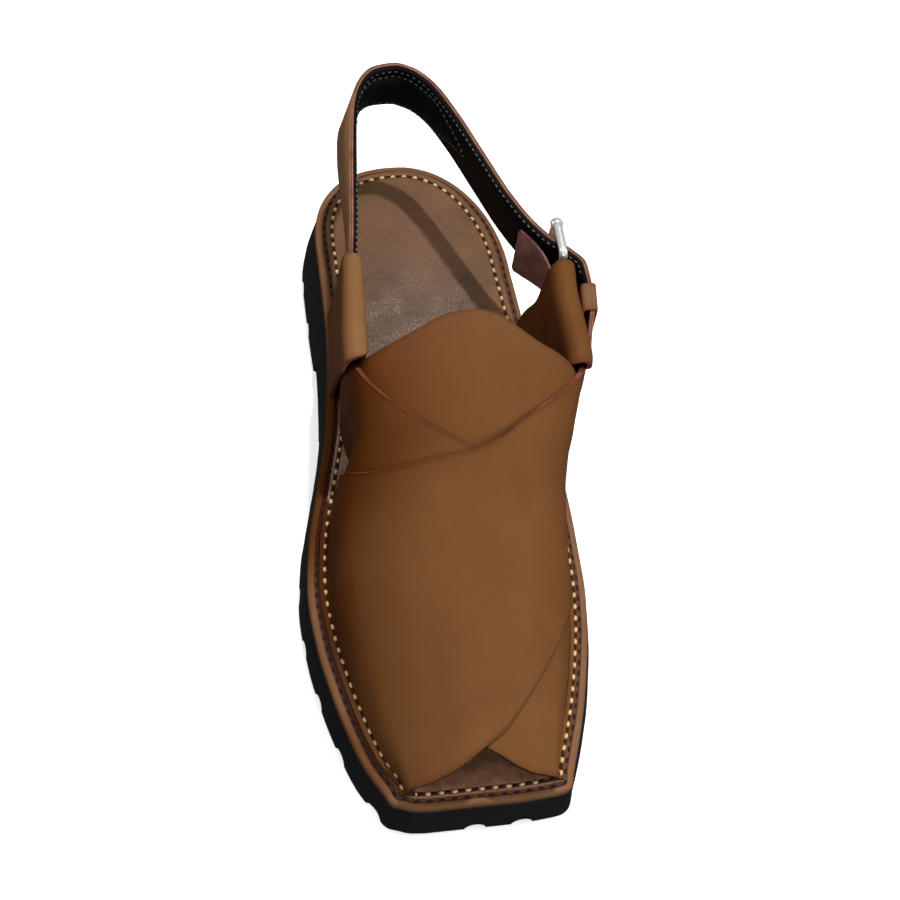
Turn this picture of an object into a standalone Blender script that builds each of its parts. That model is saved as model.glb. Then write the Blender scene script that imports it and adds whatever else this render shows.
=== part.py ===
"""Peshawari chappal, left shoe, standing on its sole.

Metres, +Z up.  The toe points to -Y, the buckle is on the outer side, +X.
Along the shoe, s is the distance forward from the heel edge of the midsole;
across it, n is the distance out from the long axis, towards the buckle.
The tables below are in millimetres, a row for each section.
"""
import math

import bmesh
import bpy
import numpy as np

MM = 0.001

# ---- driving sizes, millimetres
MIDSOLE_LENGTH = 284.0
BODY_CENTRE_S = 140.65
BODY_CENTRE_N = 2.1
GAP = 0.3

# Sole: layers, their rounded upper rims, and the round channels of the tread
MIDSOLE_THICK = 4.0
MIDSOLE_ROUND = 0.7
INSOLE_THICK = 2.0
INSOLE_ROUND = 0.5
INSOLE_INSET = 4.3
INSOLE_FRONT = 280.2
TREAD_CHAMFER = 1.0
GROOVE_SIDES = 10
GROOVE_RADIUS = 4.0
GROOVE_RISE = 0.6
GROOVE_REACH_OUT = 14.0
GROOVE_REACH_IN = 16.0
HEEL_GROOVES = (18.0, 40.0, 62.0)
SIDE_GROOVES = (122.0, 144.0, 166.0, 188.0, 210.0, 232.0, 254.0, 276.0)
TOE_GROOVES = (-2.0, 15.0)
TOE_GROOVE_OUT = 8.0

# Upper: leather, the lap of one panel over the other, and the arch they follow
LEATHER = 1.9
LAP_RISE = 1.5
LAP_RUN = 16.0
TONGUE_GAP = 0.5
FILLET = 1.2
WALL_UPRIGHT = 0.6
SHOULDER_LEAN = 0.4
SHOULDER_LEAN_START = 140.0
SHOULDER_LEAN_END = 175.0
PANEL_ROWS = 12
TONGUE_ROWS = 8

# Folded quarters
CREST_Z = 84.5
FOLD_KNEE_Z = 62.0
KNEE_SHARE = 0.4
OUTER_FOOT_INSET = 1.6
INNER_FOOT_INSET = 8.9
FOOT_LIFT = 1.0
QUARTER_ROWS = 7

# Heel strap, its padded lining and its keeper
STRAP_THICK = 3.2
STRAP_WIDTH = 22.0
STRAP_TOP = 86.0
PAD_THICK = 2.4
PAD_START = 5.3
PAD_END = 13.2
PAD_STEP = 0.4
PAD_MARGIN = 2.0
KEEPER_REAR = 110.0
KEEPER_FRONT = 122.0
KEEPER_THICK = 0.9
KEEPER_EASE = 0.5
KEEPER_CORNER = 0.8
KEEPER_ROWS = 6

# Buckle: frame, prong, the leather loop that holds it and the suede behind it
BUCKLE_N = 51.0
BUCKLE_REAR = 81.0
BUCKLE_FRONT = 96.6
BUCKLE_LOW = 60.0
BUCKLE_HIGH = 88.4
BUCKLE_CORNER = 2.4
WIRE_RADIUS = 1.2
REAR_BAR_RADIUS = 2.3
REAR_BAR_SHORT = 1.4
PRONG_RADIUS = 0.9
PRONG_Z = 74.0
PRONG_N = BUCKLE_N + REAR_BAR_RADIUS + GAP + PRONG_RADIUS
PRONG_TIP = 1.8
SLOT_EASE = 0.4
SLOT_LOW = PRONG_Z - PRONG_RADIUS - SLOT_EASE
SLOT_HIGH = PRONG_Z + PRONG_RADIUS + SLOT_EASE
CHAPE_THICK = 0.9
CHAPE_LOW = 64.5
CHAPE_HIGH = 83.0
CHAPE_JOIN = 5.0
CHAPE_END = 112.0
CHAPE_LANES = (0.0, 1.2)
BACKING_THICK = 1.0
BACKING_LANE = -1.25
BACKING_END = 110.0
TURNS = 6


class Table:
    """Named columns, read between the rows by a smooth curve that does not overshoot."""

    def __init__(self, columns, rows):
        values = np.array(rows, dtype=float)
        self.key = values[:, 0]
        self.columns = {name: values[:, i] for i, name in enumerate(columns)}

    def slopes(self, y):
        step = np.diff(self.key)
        rise = np.diff(y) / step
        slope = np.concatenate(([rise[0]], np.zeros(len(y) - 2), [rise[-1]]))
        for i in range(1, len(y) - 1):
            if rise[i - 1] * rise[i] > 0:
                ahead = 2 * step[i] + step[i - 1]
                behind = step[i] + 2 * step[i - 1]
                slope[i] = (ahead + behind) / (ahead / rise[i - 1] + behind / rise[i])
        return slope

    def at(self, column, key):
        x = self.key
        y = self.columns[column]
        slope = self.slopes(y)
        key = min(max(key, x[0]), x[-1])
        i = min(int(np.searchsorted(x, key, side="right")) - 1, len(x) - 2)
        step = x[i + 1] - x[i]
        u = (key - x[i]) / step
        start = (1 + 2 * u) * (1 - u) ** 2 * y[i] + u * (1 - u) ** 2 * step * slope[i]
        end = u * u * (3 - 2 * u) * y[i + 1] + u * u * (u - 1) * step * slope[i + 1]
        return float(start + end)


# Edge of the midsole in front of the heel's round end
OUTLINE = Table(
    ("s", "medial", "lateral"),
    [
        (42, -36.9, 40.9),
        (60, -36.7, 42.4),
        (80, -36.6, 43.8),
        (105, -38.2, 46.0),
        (127, -40.8, 48.4),
        (151, -46.2, 50.0),
        (177, -52.0, 50.9),
        (198, -54.0, 50.8),
        (218, -52.4, 48.9),
        (234, -49.4, 45.8),
        (250, -45.4, 41.8),
        (266, -40.2, 36.6),
        (276, -34.8, 33.0),
        (281.0, -31.9, 31.3),
        (281.7, -30.0, 30.6),
        (282.6, -27.6, 28.9),
        (283.5, -25.0, 21.0),
        (MIDSOLE_LENGTH, -20.0, 12.0),
    ],
)
HEEL_CENTRE = 1.5
TOE_CORNER = 276.0
# Reach forward, half width and power of the oval that closes each side of the heel
HEEL_OVAL = {"medial": (42.0, -38.4, 2.4), "lateral": (60.0, 40.9, 2.0)}

# Height of the midsole's top and of the outsole's underside, and the spread of the rubber below
PROFILE = Table(
    ("s", "top", "floor", "flare"),
    [
        (0, 32.0, 0.0, 5.0),
        (60, 32.0, 0.0, 5.5),
        (83, 31.0, 0.0, 5.0),
        (85, 30.8, 8.0, 4.6),
        (103, 28.6, 8.0, 3.6),
        (106, 28.1, 0.0, 3.4),
        (125, 25.2, 0.0, 3.0),
        (151, 22.2, 0.0, 3.0),
        (198, 20.3, 0.0, 3.2),
        (238, 20.2, 0.0, 3.2),
        (262, 21.6, 0.7, 2.8),
        (MIDSOLE_LENGTH, 24.0, 1.6, 1.9),
    ],
)

# The last under the upper: crown and shoulders of the arch at each section, and how far in from
# the midsole's edge its walls stand
ARCH = Table(
    ("s", "crown_n", "crown_z", "medial_n", "medial_z", "lateral_n", "lateral_z",
     "medial_foot", "lateral_foot"),
    [
        (80, 12.0, 99.0, -26.7, 84.5, 52.6, 84.5, 8.0, 10.0),
        (115, 11.5, 94.0, -28.4, 84.5, 49.0, 84.5, 8.0, 10.0),
        (128, 11.0, 91.5, -29.2, 84.0, 48.6, 84.5, 8.6, 10.0),
        (140, 10.5, 88.0, -30.4, 80.5, 48.1, 83.2, 11.8, 10.2),
        (150, 10.2, 84.0, -31.2, 74.5, 44.4, 77.0, 13.8, 10.6),
        (157, 9.9, 81.0, -31.6, 70.0, 41.0, 71.5, 12.8, 11.0),
        (165, 9.5, 77.5, -32.0, 65.0, 38.4, 66.0, 11.2, 11.4),
        (180, 7.6, 70.2, -33.6, 57.5, 36.4, 57.0, 10.2, 11.6),
        (195, 5.0, 63.0, -34.5, 51.0, 35.0, 50.5, 9.6, 11.0),
        (210, 3.4, 57.8, -34.2, 46.6, 33.4, 46.3, 9.0, 9.0),
        (230, 1.5, 52.0, -33.0, 42.0, 31.0, 42.0, 8.6, 8.2),
        (255, 0.3, 46.5, -28.5, 37.5, 26.5, 37.5, 8.4, 8.0),
        (284, 0.0, 41.5, -23.0, 34.5, 21.5, 34.5, 8.2, 7.8),
    ],
)
# Shares of the way over the arch, from the medial sole to the crown
FLANGE_END = 0.05
WALL_START = 0.08
SHOULDER = 0.28
CROWN = 0.5
# Shares at which the panels have a row of points, closest together where their edges turn
ARCH_MARKS = [
    FLANGE_END, 0.065, WALL_START, 0.105, 0.13, 0.16, 0.19, 0.22, 0.25, 0.273, 0.295, 0.318, 0.344, 0.37,
    0.40, 0.43, 0.465, 0.498, 0.53, 0.56, 0.59, 0.62, 0.645, 0.67, 0.695, 0.72, 0.75, 0.78, 0.81, 0.84,
    0.87, 0.895, 1 - WALL_START, 0.935, 1 - FLANGE_END,
]

# Rear and front edge of each panel over the share t, from 0 at the medial sole to 1 at the lateral
UNDER_PANEL = Table(
    ("t", "rear", "front"),
    [
        (0.085, 112.0, 151.0),
        (0.10, 112.5, 153.0),
        (0.18, 120.5, 178.0),
        (0.25, 131.0, 210.0),
        (0.273, 135.6, 218.0),
        (0.32, 146.3, 232.0),
        (0.369, 155.0, 244.0),
        (0.43, 163.5, 257.0),
        (0.499, 170.7, 271.4),
        (0.538, 172.6, 274.6),
        (0.591, 173.0, 278.4),
        (0.653, 171.0, 280.6),
        (0.72, 166.0, 281.0),
        (0.80, 160.0, 280.4),
        (0.90, 152.0, 279.5),
        (1.0, 149.0, 279.0),
    ],
)
TOP_PANEL = Table(
    ("t", "rear", "front"),
    [
        (0.0, 171.0, 279.0),
        (0.05, 166.0, 279.4),
        (0.065, 159.0, 279.5),
        (0.08, 151.5, 279.6),
        (0.12, 154.5, 279.8),
        (0.18, 161.5, 280.0),
        (0.25, 168.0, 280.2),
        (0.317, 172.1, 280.2),
        (0.37, 172.9, 279.2),
        (0.44, 172.2, 276.0),
        (0.497, 170.8, 271.5),
        (0.553, 167.3, 266.6),
        (0.594, 162.4, 260.5),
        (0.632, 157.6, 253.3),
        (0.665, 153.8, 246.6),
        (0.70, 149.0, 238.0),
        (0.73, 143.8, 230.0),
        (0.755, 140.5, 225.0),
        (0.82, 133.0, 214.0),
        (0.915, 124.0, 192.0),
    ],
)
TONGUE = Table(
    ("t", "rear", "front"),
    [
        (0.20, 142.0, 150.0),
        (0.275, 136.0, 170.0),
        (0.318, 136.2, 180.0),
        (0.358, 134.4, 184.0),
        (0.401, 130.4, 186.0),
        (0.435, 126.1, 187.0),
        (0.468, 123.2, 187.0),
        (0.507, 122.4, 187.0),
        (0.544, 124.4, 187.0),
        (0.574, 128.7, 186.0),
        (0.614, 135.2, 184.0),
        (0.665, 141.6, 180.0),
        (0.72, 147.0, 172.0),
        (0.80, 151.0, 160.0),
    ],
)

# Folded quarters: rear and front edge over the share p, from the inner foot over the crest to the outer foot
QUARTER_COLUMNS = ("p", "rear", "front")
QUARTERS = {
    "medial": {
        "sign": -1,
        "radius": 3.1,
        "inner_spread": 0.0,
        "outer_spread": 2.0,
        "edges": Table(
            QUARTER_COLUMNS,
            [
                (0.0, 90.0, 111.0),
                (0.42, 90.5, 129.0),
                (0.46, 90.5, 133.0),
                (0.54, 90.0, 134.5),
                (0.70, 87.0, 130.0),
                (0.85, 80.0, 121.0),
                (1.0, 78.0, 114.0),
            ],
        ),
    },
    "lateral": {
        "sign": 1,
        "radius": 3.2,
        "inner_spread": 2.0,
        "outer_spread": 0.0,
        "edges": Table(
            QUARTER_COLUMNS,
            [
                (0.0, 97.0, 122.0),
                (0.12, 95.5, 127.0),
                (0.20, 96.5, 131.0),
                (0.245, 101.4, 133.0),
                (0.30, 101.8, 136.0),
                (0.42, 102.2, 142.0),
                (0.47, 99.8, 145.2),
                (0.54, 99.4, 146.0),
                (0.58, 101.0, 145.5),
                (0.75, 101.5, 142.0),
                (0.85, 97.0, 135.0),
                (1.0, 90.0, 126.0),
            ],
        ),
    },
}
CREST_START = 0.42
CREST_END = 0.58
# Shares at which the folded leather has a row of points, closest together over the crest
QUARTER_MARKS = [
    0.0, 0.12, 0.2, 0.25, 0.3, 0.37, CREST_START, 0.446, 0.473, 0.5, 0.527, 0.554, CREST_END,
    0.66, 0.748, 0.83, 0.915, 1.0,
]

# Heel strap: its outer face along the top edge, how far the lower edge stands out from it, and its width
STRAP = Table(
    ("step", "s", "n", "top", "lean", "width"),
    [
        (0, 117.0, -31.1, 85.0, 0.0, 22.0),
        (1, 104.0, -30.4, 85.0, 0.0, 22.0),
        (2, 92.0, -29.7, 85.2, 0.0, 22.0),
        (3, 73.0, -27.8, 88.3, 0.8, 22.0),
        (4, 56.0, -26.2, 90.4, 2.2, 22.0),
        (5, 33.0, -23.9, 93.4, 4.5, 22.0),
        (6, 20.0, -22.0, 95.0, 5.0, 22.0),
        (7, 10.5, -18.1, 96.3, 4.0, 22.0),
        (8, 4.5, -12.0, 97.0, 2.0, 22.0),
        (9, 2.6, -3.3, 97.0, 0.5, 22.0),
        (10, 5.4, 3.8, 97.0, 0.0, 22.0),
        (11, 13.0, 11.5, 96.3, 0.0, 22.0),
        (12, 28.0, 19.1, 95.0, 0.0, 22.0),
        (13, 47.5, 27.0, 92.8, 0.0, 22.0),
        (14, 67.0, 35.5, 89.6, 0.0, 22.0),
        (15, 79.0, 43.0, 87.0, 0.0, 22.0),
        (16, 86.5, 49.2, 86.0, 0.0, 22.0),
        (17, 92.6, 55.4, 86.0, 0.0, 22.0),
        (18, 99.6, 59.8, 86.0, 0.0, 22.0),
        (19, 109.0, 60.0, 86.0, 0.0, 22.0),
        (20, 121.5, 58.8, 86.0, 0.0, 22.0),
        (21, 127.0, 58.0, 83.0, 0.0, 20.0),
        (22, 132.5, 57.4, 80.2, 0.0, 16.5),
        (23, 137.5, 56.9, 78.0, 0.0, 11.0),
    ],
)
STEPS_PER_ROW = 2

# Suede behind the buckle, from its free rear end to where it goes between the leaves of the fold
BACKING = Table(
    ("step", "s", "n", "low", "high"),
    [
        (0, 76.0, 36.0, 58.5, 80.0),
        (1, 81.5, 39.8, 58.0, 82.0),
        (2, 87.5, 43.9, 60.5, 83.0),
        (3, 93.5, 46.2, 64.0, 83.0),
        (4, 98.2, 47.0, 65.5, 82.0),
    ],
)


# ---- frame and mesh helpers

def place(s, n, z):
    """World point, in metres, of a place along, across and above the shoe."""
    return ((n - BODY_CENTRE_N) * MM, (BODY_CENTRE_S - s) * MM, z * MM)


def clear_scene():
    for item in list(bpy.data.objects):
        bpy.data.objects.remove(item, do_unlink=True)


def new_collection(name):
    collection = bpy.data.collections.new(name)
    bpy.context.scene.collection.children.link(collection)
    return collection


def material(name, colour, roughness, metallic=0.0):
    made = bpy.data.materials.new(name)
    made.use_nodes = True
    shader = made.node_tree.nodes["Principled BSDF"]
    shader.inputs["Base Color"].default_value = (*colour, 1.0)
    shader.inputs["Roughness"].default_value = roughness
    shader.inputs["Metallic"].default_value = metallic
    return made


def mesh_object(name, points, faces, finish, collection):
    """An object from world points and faces, with its faces turned outwards."""
    mesh = bpy.data.meshes.new(name)
    mesh.from_pydata([tuple(p) for p in points], [], faces)
    shape = bmesh.new()
    shape.from_mesh(mesh)
    bmesh.ops.recalc_face_normals(shape, faces=shape.faces)
    shape.to_mesh(mesh)
    shape.free()
    made = bpy.data.objects.new(name, mesh)
    if finish is not None:
        mesh.materials.append(finish)
    collection.objects.link(made)
    return made


def loft(name, rings, finish, collection, closed=False):
    """A solid through rings with the same number of points each, capped unless it closes on itself."""
    count = len(rings[0])
    points = [p for ring in rings for p in ring]
    faces = []
    spans = len(rings) if closed else len(rings) - 1
    for i in range(spans):
        here = i * count
        there = ((i + 1) % len(rings)) * count
        for j in range(count):
            k = (j + 1) % count
            faces.append((here + j, here + k, there + k, there + j))
    if not closed:
        faces.append(tuple(reversed(range(count))))
        faces.append(tuple(range((len(rings) - 1) * count, len(rings) * count)))
    return mesh_object(name, points, faces, finish, collection)


def sheet(name, grid, finish, collection):
    """An open surface over a grid of points, its front face towards the outside of the upper."""
    columns = len(grid)
    rows = len(grid[0])
    points = [p for column in grid for p in column]
    faces = []
    for i in range(columns - 1):
        for j in range(rows - 1):
            a = i * rows + j
            faces.append((a, a + 1, a + rows + 1, a + rows))
    mesh = bpy.data.meshes.new(name)
    mesh.from_pydata([tuple(p) for p in points], [], faces)
    made = bpy.data.objects.new(name, mesh)
    if finish is not None:
        mesh.materials.append(finish)
    collection.objects.link(made)
    return made


def thicken(item, thickness, offset):
    wall = item.modifiers.new("Wall", "SOLIDIFY")
    wall.thickness = thickness * MM
    wall.offset = offset
    wall.use_even_offset = True
    wall.use_quality_normals = True


def boolean(item, other, operation):
    cut = item.modifiers.new(operation.title(), "BOOLEAN")
    cut.operation = operation
    cut.solver = "EXACT"
    cut.object = other


def hide_helper(item):
    item.hide_render = True
    item.display_type = "WIRE"


# ---- sole

def edge(side, s):
    """Distance out of the midsole's edge at s."""
    reach, half, power = HEEL_OVAL[side]
    if s >= reach:
        return OUTLINE.at(side, s)
    share = (reach - max(s, 0.0)) / reach
    return HEEL_CENTRE + half * (1 - share ** power) ** (1 / power)


def sole_stations():
    """Places along the sole, closer together round the heel, at the heel breast and at the toe corners."""
    heel = [0.35, 1.6, 4.0, 8.0, 14.0, 22.0, 31.0, 42.0, 51.0, 60.0, 72.0]
    waist = [83.0, 85.0, 94.0, 103.0, 106.0, 116.0]
    forefoot = [127.0, 139.0, 151.0, 164.0, 177.0, 188.0, 198.0, 208.0, 218.0, 228.0, 238.0, 250.0, 262.0]
    toe = [270.0, 276.0, 279.0, 281.0, 281.7, 282.6, 283.5, MIDSOLE_LENGTH]
    return heel + waist + forefoot + toe


def outline(stations, spread, square):
    """Pairs of medial and lateral points, each set off square to the edge by spread(s)."""
    sides = []
    for side, sign in (("medial", -1), ("lateral", 1)):
        line = np.array([(s, edge(side, s)) for s in stations])
        start = (0.0, HEEL_CENTRE)
        end = 2 * line[-1] - line[-2] if square else (MIDSOLE_LENGTH, 0.0)
        run = np.vstack((start, line, end))
        along = run[2:] - run[:-2]
        along /= np.linalg.norm(along, axis=1)[:, None]
        out = np.stack((-along[:, 1], along[:, 0]), axis=1) * sign
        far = np.array([spread(s) for s in stations])
        sides.append(line + out * far[:, None])
    return list(zip(sides[0], sides[1]))


def slab(name, stations, levels, finish, collection, square=False):
    """A sole layer lofted along the shoe; each level is a spread and a height, from the floor up."""
    outlines = [(outline(stations, spread, square), height) for spread, height in levels]
    rings = []
    for k, s in enumerate(stations):
        medial = [place(*pairs[k][0], height(s)) for pairs, height in outlines]
        lateral = [place(*pairs[k][1], height(s)) for pairs, height in outlines]
        rings.append(medial + lateral[::-1])
    return loft(name, rings, finish, collection)


def top(s):
    return PROFILE.at("top", s)


def floor(s):
    """Underside of the rubber, straight between its rows so that the heel breast stays square."""
    return float(np.interp(s, PROFILE.key, PROFILE.columns["floor"]))


def flare(s):
    return PROFILE.at("flare", s)


def groove(name, ends, radius, cutters):
    """A round bar along the two ends, used to cut a channel in the tread."""
    a, b = (np.array(place(*end)) for end in ends)
    along = (b - a) / np.linalg.norm(b - a)
    side = np.cross(along, (0.0, 0.0, 1.0))
    side /= np.linalg.norm(side)
    rise = np.cross(side, along)
    rings = []
    for centre in (a, b):
        ring = []
        for k in range(GROOVE_SIDES):
            angle = 2 * math.pi * (k + 0.5) / GROOVE_SIDES
            ring.append(centre + radius * MM * (side * math.cos(angle) + rise * math.sin(angle)))
        rings.append(ring)
    made = loft(name, rings, None, cutters)
    hide_helper(made)
    return made


def outsole(finish, collection, cutters):
    levels = [
        (lambda s: flare(s) - TREAD_CHAMFER, floor),
        (flare, lambda s: floor(s) + TREAD_CHAMFER),
        (lambda s: 0.6 * flare(s), lambda s: 0.5 * (floor(s) + top(s))),
        (lambda s: GAP, lambda s: top(s) - MIDSOLE_THICK - GAP),
    ]
    made = slab("outsole", sole_stations(), levels, finish, collection)
    bars = []
    for k, s in enumerate(HEEL_GROOVES + SIDE_GROOVES):
        for side, sign in (("medial", -1), ("lateral", 1)):
            outer = edge(side, s)
            depth = floor(s) + GROOVE_RISE
            ends = ((s, outer + sign * GROOVE_REACH_OUT, depth), (s, outer - sign * GROOVE_REACH_IN, depth))
            bars.append(groove(f"groove_{side}_{k}", ends, GROOVE_RADIUS, cutters))
    for k, n in enumerate(TOE_GROOVES):
        depth = floor(MIDSOLE_LENGTH) + GROOVE_RISE
        ends = ((MIDSOLE_LENGTH + TOE_GROOVE_OUT, n, depth), (MIDSOLE_LENGTH - GROOVE_REACH_IN, n, depth))
        bars.append(groove(f"groove_toe_{k}", ends, GROOVE_RADIUS, cutters))
    for bar in bars:
        boolean(made, bar, "DIFFERENCE")
    return made


def midsole(finish, collection):
    levels = [
        (lambda s: 0.0, lambda s: top(s) - MIDSOLE_THICK),
        (lambda s: 0.0, lambda s: top(s) - MIDSOLE_ROUND),
        (lambda s: -MIDSOLE_ROUND, top),
    ]
    return slab("midsole", sole_stations(), levels, finish, collection)


def insole(finish, collection):
    levels = [
        (lambda s: -INSOLE_INSET, lambda s: top(s) + GAP),
        (lambda s: -INSOLE_INSET, lambda s: insole_top(s) - INSOLE_ROUND),
        (lambda s: -INSOLE_INSET - INSOLE_ROUND, insole_top),
    ]
    stations = [s for s in sole_stations() if s <= TOE_CORNER] + [INSOLE_FRONT]
    return slab("insole", stations, levels, finish, collection, square=True)


# ---- the arch that the upper follows

def smooth_step(low, high, value):
    u = min(max((value - low) / (high - low), 0.0), 1.0)
    return u * u * (3 - 2 * u)


def hermite(a, b, leave, arrive, u):
    a, b, leave, arrive = (np.array(v, dtype=float) for v in (a, b, leave, arrive))
    start = (1 + 2 * u) * (1 - u) ** 2 * a + u * (1 - u) ** 2 * leave
    return start + u * u * (3 - 2 * u) * b + u * u * (u - 1) * arrive


def inset(side, s, distance):
    """Place across the shoe of a line set in from the midsole's edge, square to that edge."""
    sign = -1 if side == "medial" else 1
    s = min(s, TOE_CORNER)
    turn = (edge(side, s + 1.0) - edge(side, s - 1.0)) / 2.0
    return edge(side, s) - sign * distance * math.hypot(1.0, turn)


def insole_top(s):
    return top(s) + GAP + INSOLE_THICK


def arch(s, t, spread=0.0):
    """Across and up of the upper's inner face at share t; near the sole it can be spread out and up."""
    side, u = ("medial", t) if t <= CROWN else ("lateral", 1.0 - t)
    out = -1 if side == "medial" else 1
    ground = insole_top(s) + GAP
    foot = inset(side, s, ARCH.at(side + "_foot", s))
    crown = np.array((ARCH.at("crown_n", s), ARCH.at("crown_z", s)))
    shoulder = np.array((ARCH.at(side + "_n", s), ARCH.at(side + "_z", s)))
    if u <= WALL_START:
        corner = np.array((foot + out * spread, ground + spread))
        flange = corner + np.array((out * FILLET, 0.0))
        if u <= FLANGE_END:
            rim = np.array((inset(side, s, INSOLE_INSET), ground + spread))
            return rim + (flange - rim) * (u / FLANGE_END)
        v = (u - FLANGE_END) / (WALL_START - FLANGE_END)
        rise = corner + np.array((0.0, FILLET))
        return (1 - v) ** 2 * flange + 2 * v * (1 - v) * corner + v * v * rise
    wall_start = np.array((foot, ground + FILLET))
    upright = smooth_step(SHOULDER_LEAN_START, SHOULDER_LEAN_END, s)
    lean = (crown - wall_start) * (SHOULDER_LEAN + (1.0 - SHOULDER_LEAN) * upright, 1.0)
    lean /= np.linalg.norm(lean)
    if u <= SHOULDER:
        reach = np.linalg.norm(shoulder - wall_start)
        v = (u - WALL_START) / (SHOULDER - WALL_START)
        return hermite(wall_start, shoulder, (0.0, WALL_UPRIGHT * reach), lean * reach, v)
    reach = np.linalg.norm(crown - shoulder)
    v = (u - SHOULDER) / (CROWN - SHOULDER)
    return hermite(shoulder, crown, lean * reach, (-out * reach, 0.0), v)


def arch_point(s, t, offset=0.0):
    """World point on the upper's inner face, moved out square to it by the offset."""
    if min(t, 1.0 - t) <= WALL_START:
        return np.array(place(s, *arch(s, t, offset)))
    step_t = 0.004
    here = np.array(place(s, *arch(s, t)))
    across = np.array(place(s, *arch(s, t + step_t))) - np.array(place(s, *arch(s, t)))
    ahead = np.array(place(s + 1.0, *arch(s + 1.0, t))) - np.array(place(s - 1.0, *arch(s - 1.0, t)))
    if t > CROWN:
        across = np.array(place(s, *arch(s, t))) - np.array(place(s, *arch(s, t - step_t)))
    normal = np.cross(ahead, across)
    normal /= np.linalg.norm(normal)
    return here + normal * offset * MM


def panel(name, table, rows, rise, finish, collection):
    """A leather panel laid over the arch, standing off its inner face by rise(s, t)."""
    grids = []
    shares = shares_over(table)
    for extra in (0.0, LEATHER):
        grid = []
        for t in shares:
            run = np.linspace(table.at("rear", t), table.at("front", t), rows)
            grid.append([arch_point(s, t, rise(s, t) + extra) for s in run])
        grids.append(grid)
    rings = [inner + outer[::-1] for inner, outer in zip(*grids)]
    return loft(name, rings, finish, collection)


def shares_over(table):
    """Shares across a panel: its own two ends and the arch's marks between them."""
    low = table.key[0]
    high = table.key[-1]
    inner = [t for t in ARCH_MARKS if low < t < high]
    return [low] + inner + [high]


def lap(s, t):
    """Rise of the top panel over the under panel, none where it lies on the foot or the insole itself."""
    onset = UNDER_PANEL.at("rear", t)
    behind = 1.0 if t < CROWN else smooth_step(onset - LAP_RUN, onset - 2.0, s)
    return LAP_RISE * behind * smooth_step(WALL_START, 0.13, t)


def upper(finish, collection, cutters):
    """Two crossing leather panels, one lapped over the other, joined where they cross."""
    under = panel("upper", UNDER_PANEL, PANEL_ROWS, lambda s, t: 0.0, finish, collection)
    over = panel("upper_top_panel", TOP_PANEL, PANEL_ROWS, lap, finish, cutters)
    hide_helper(over)
    boolean(under, over, "UNION")
    return under


def tongue(finish, collection):
    """Rounded leather piece under both panels, showing behind them over the instep."""
    return panel("tongue", TONGUE, TONGUE_ROWS, lambda s, t: -TONGUE_GAP - LEATHER, finish, collection)


# ---- folded quarters

def crest(side, s):
    """Centre of the fold's crest: the panel's mid surface at its shoulder."""
    sign = QUARTERS[side]["sign"]
    return ARCH.at(side + "_n", s) + sign * 0.5 * LEATHER, CREST_Z


def wall(side, s, z):
    """How far across the arch's wall stands at height z."""
    shares = np.linspace(WALL_START, SHOULDER, 15)
    if side == "lateral":
        shares = 1.0 - shares
    spots = np.array([arch(s, t) for t in shares])
    return float(np.interp(z, spots[:, 1], spots[:, 0]))


def quarter_section(side, s, p):
    """Across and up of the folded leather's mid surface at share p of its path."""
    fold = QUARTERS[side]
    sign = fold["sign"]
    radius = fold["radius"]
    centre, height = crest(side, s)
    if CREST_START <= p <= CREST_END:
        turn = math.pi * (p - CREST_START) / (CREST_END - CREST_START)
        return centre - sign * radius * math.cos(turn), height + radius * math.sin(turn)
    if p < CREST_START:
        foot = (inset(side, s, INNER_FOOT_INSET), insole_top(s) + FOOT_LIFT)
        knee = (centre - sign * (radius + fold["inner_spread"]), FOLD_KNEE_Z)
        brow = (centre - sign * radius, height)
        u = (CREST_START - p) / CREST_START
    else:
        foot = (inset(side, s, OUTER_FOOT_INSET), top(s) + FOOT_LIFT)
        knee = (centre + sign * (radius + fold["outer_spread"]), FOLD_KNEE_Z)
        brow = (centre + sign * radius, height)
        u = (p - CREST_END) / (1.0 - CREST_END)
    run = np.array((brow, knee, foot)).T
    across, up = (float(np.interp(u, (0.0, KNEE_SHARE, 1.0), column)) for column in run)
    if p > CREST_END:
        cover = wall(side, s, up) + sign * (1.5 * LEATHER + GAP)
        across = sign * max(sign * across, sign * cover)
    return across, up


def quarter(side, finish, collection):
    """A leather flap rising from the insole, folded outwards over the strap and down to the sole's edge."""
    edges = QUARTERS[side]["edges"]
    grid = []
    for p in QUARTER_MARKS:
        rear = edges.at("rear", p)
        front = edges.at("front", p)
        grid.append([place(s, *quarter_section(side, s, p)) for s in np.linspace(rear, front, QUARTER_ROWS)])
    made = sheet("quarter_" + side, grid, finish, collection)
    thicken(made, LEATHER, 0.0)
    return made


# ---- heel strap, buckle and small leather

def ribbon(name, centres, lows, highs, thickness, finish, collection, closed=False):
    """An upright band along a path: centres in s and n, with its lower and upper edges."""
    count = len(centres)
    rings = []
    for k in range(count):
        before = centres[k - 1] if closed or k > 0 else centres[k]
        after = centres[(k + 1) % count] if closed or k < count - 1 else centres[k]
        along = np.array(after) - np.array(before)
        along /= np.linalg.norm(along)
        side = np.array((-along[1], along[0])) * 0.5 * thickness[k]
        low = lows[k]
        high = highs[k]
        rings.append([
            place(*(low[:2] - side), low[2]),
            place(*(low[:2] + side), low[2]),
            place(*(high[:2] + side), high[2]),
            place(*(high[:2] - side), high[2]),
        ])
    return loft(name, rings, finish, collection, closed)


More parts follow.
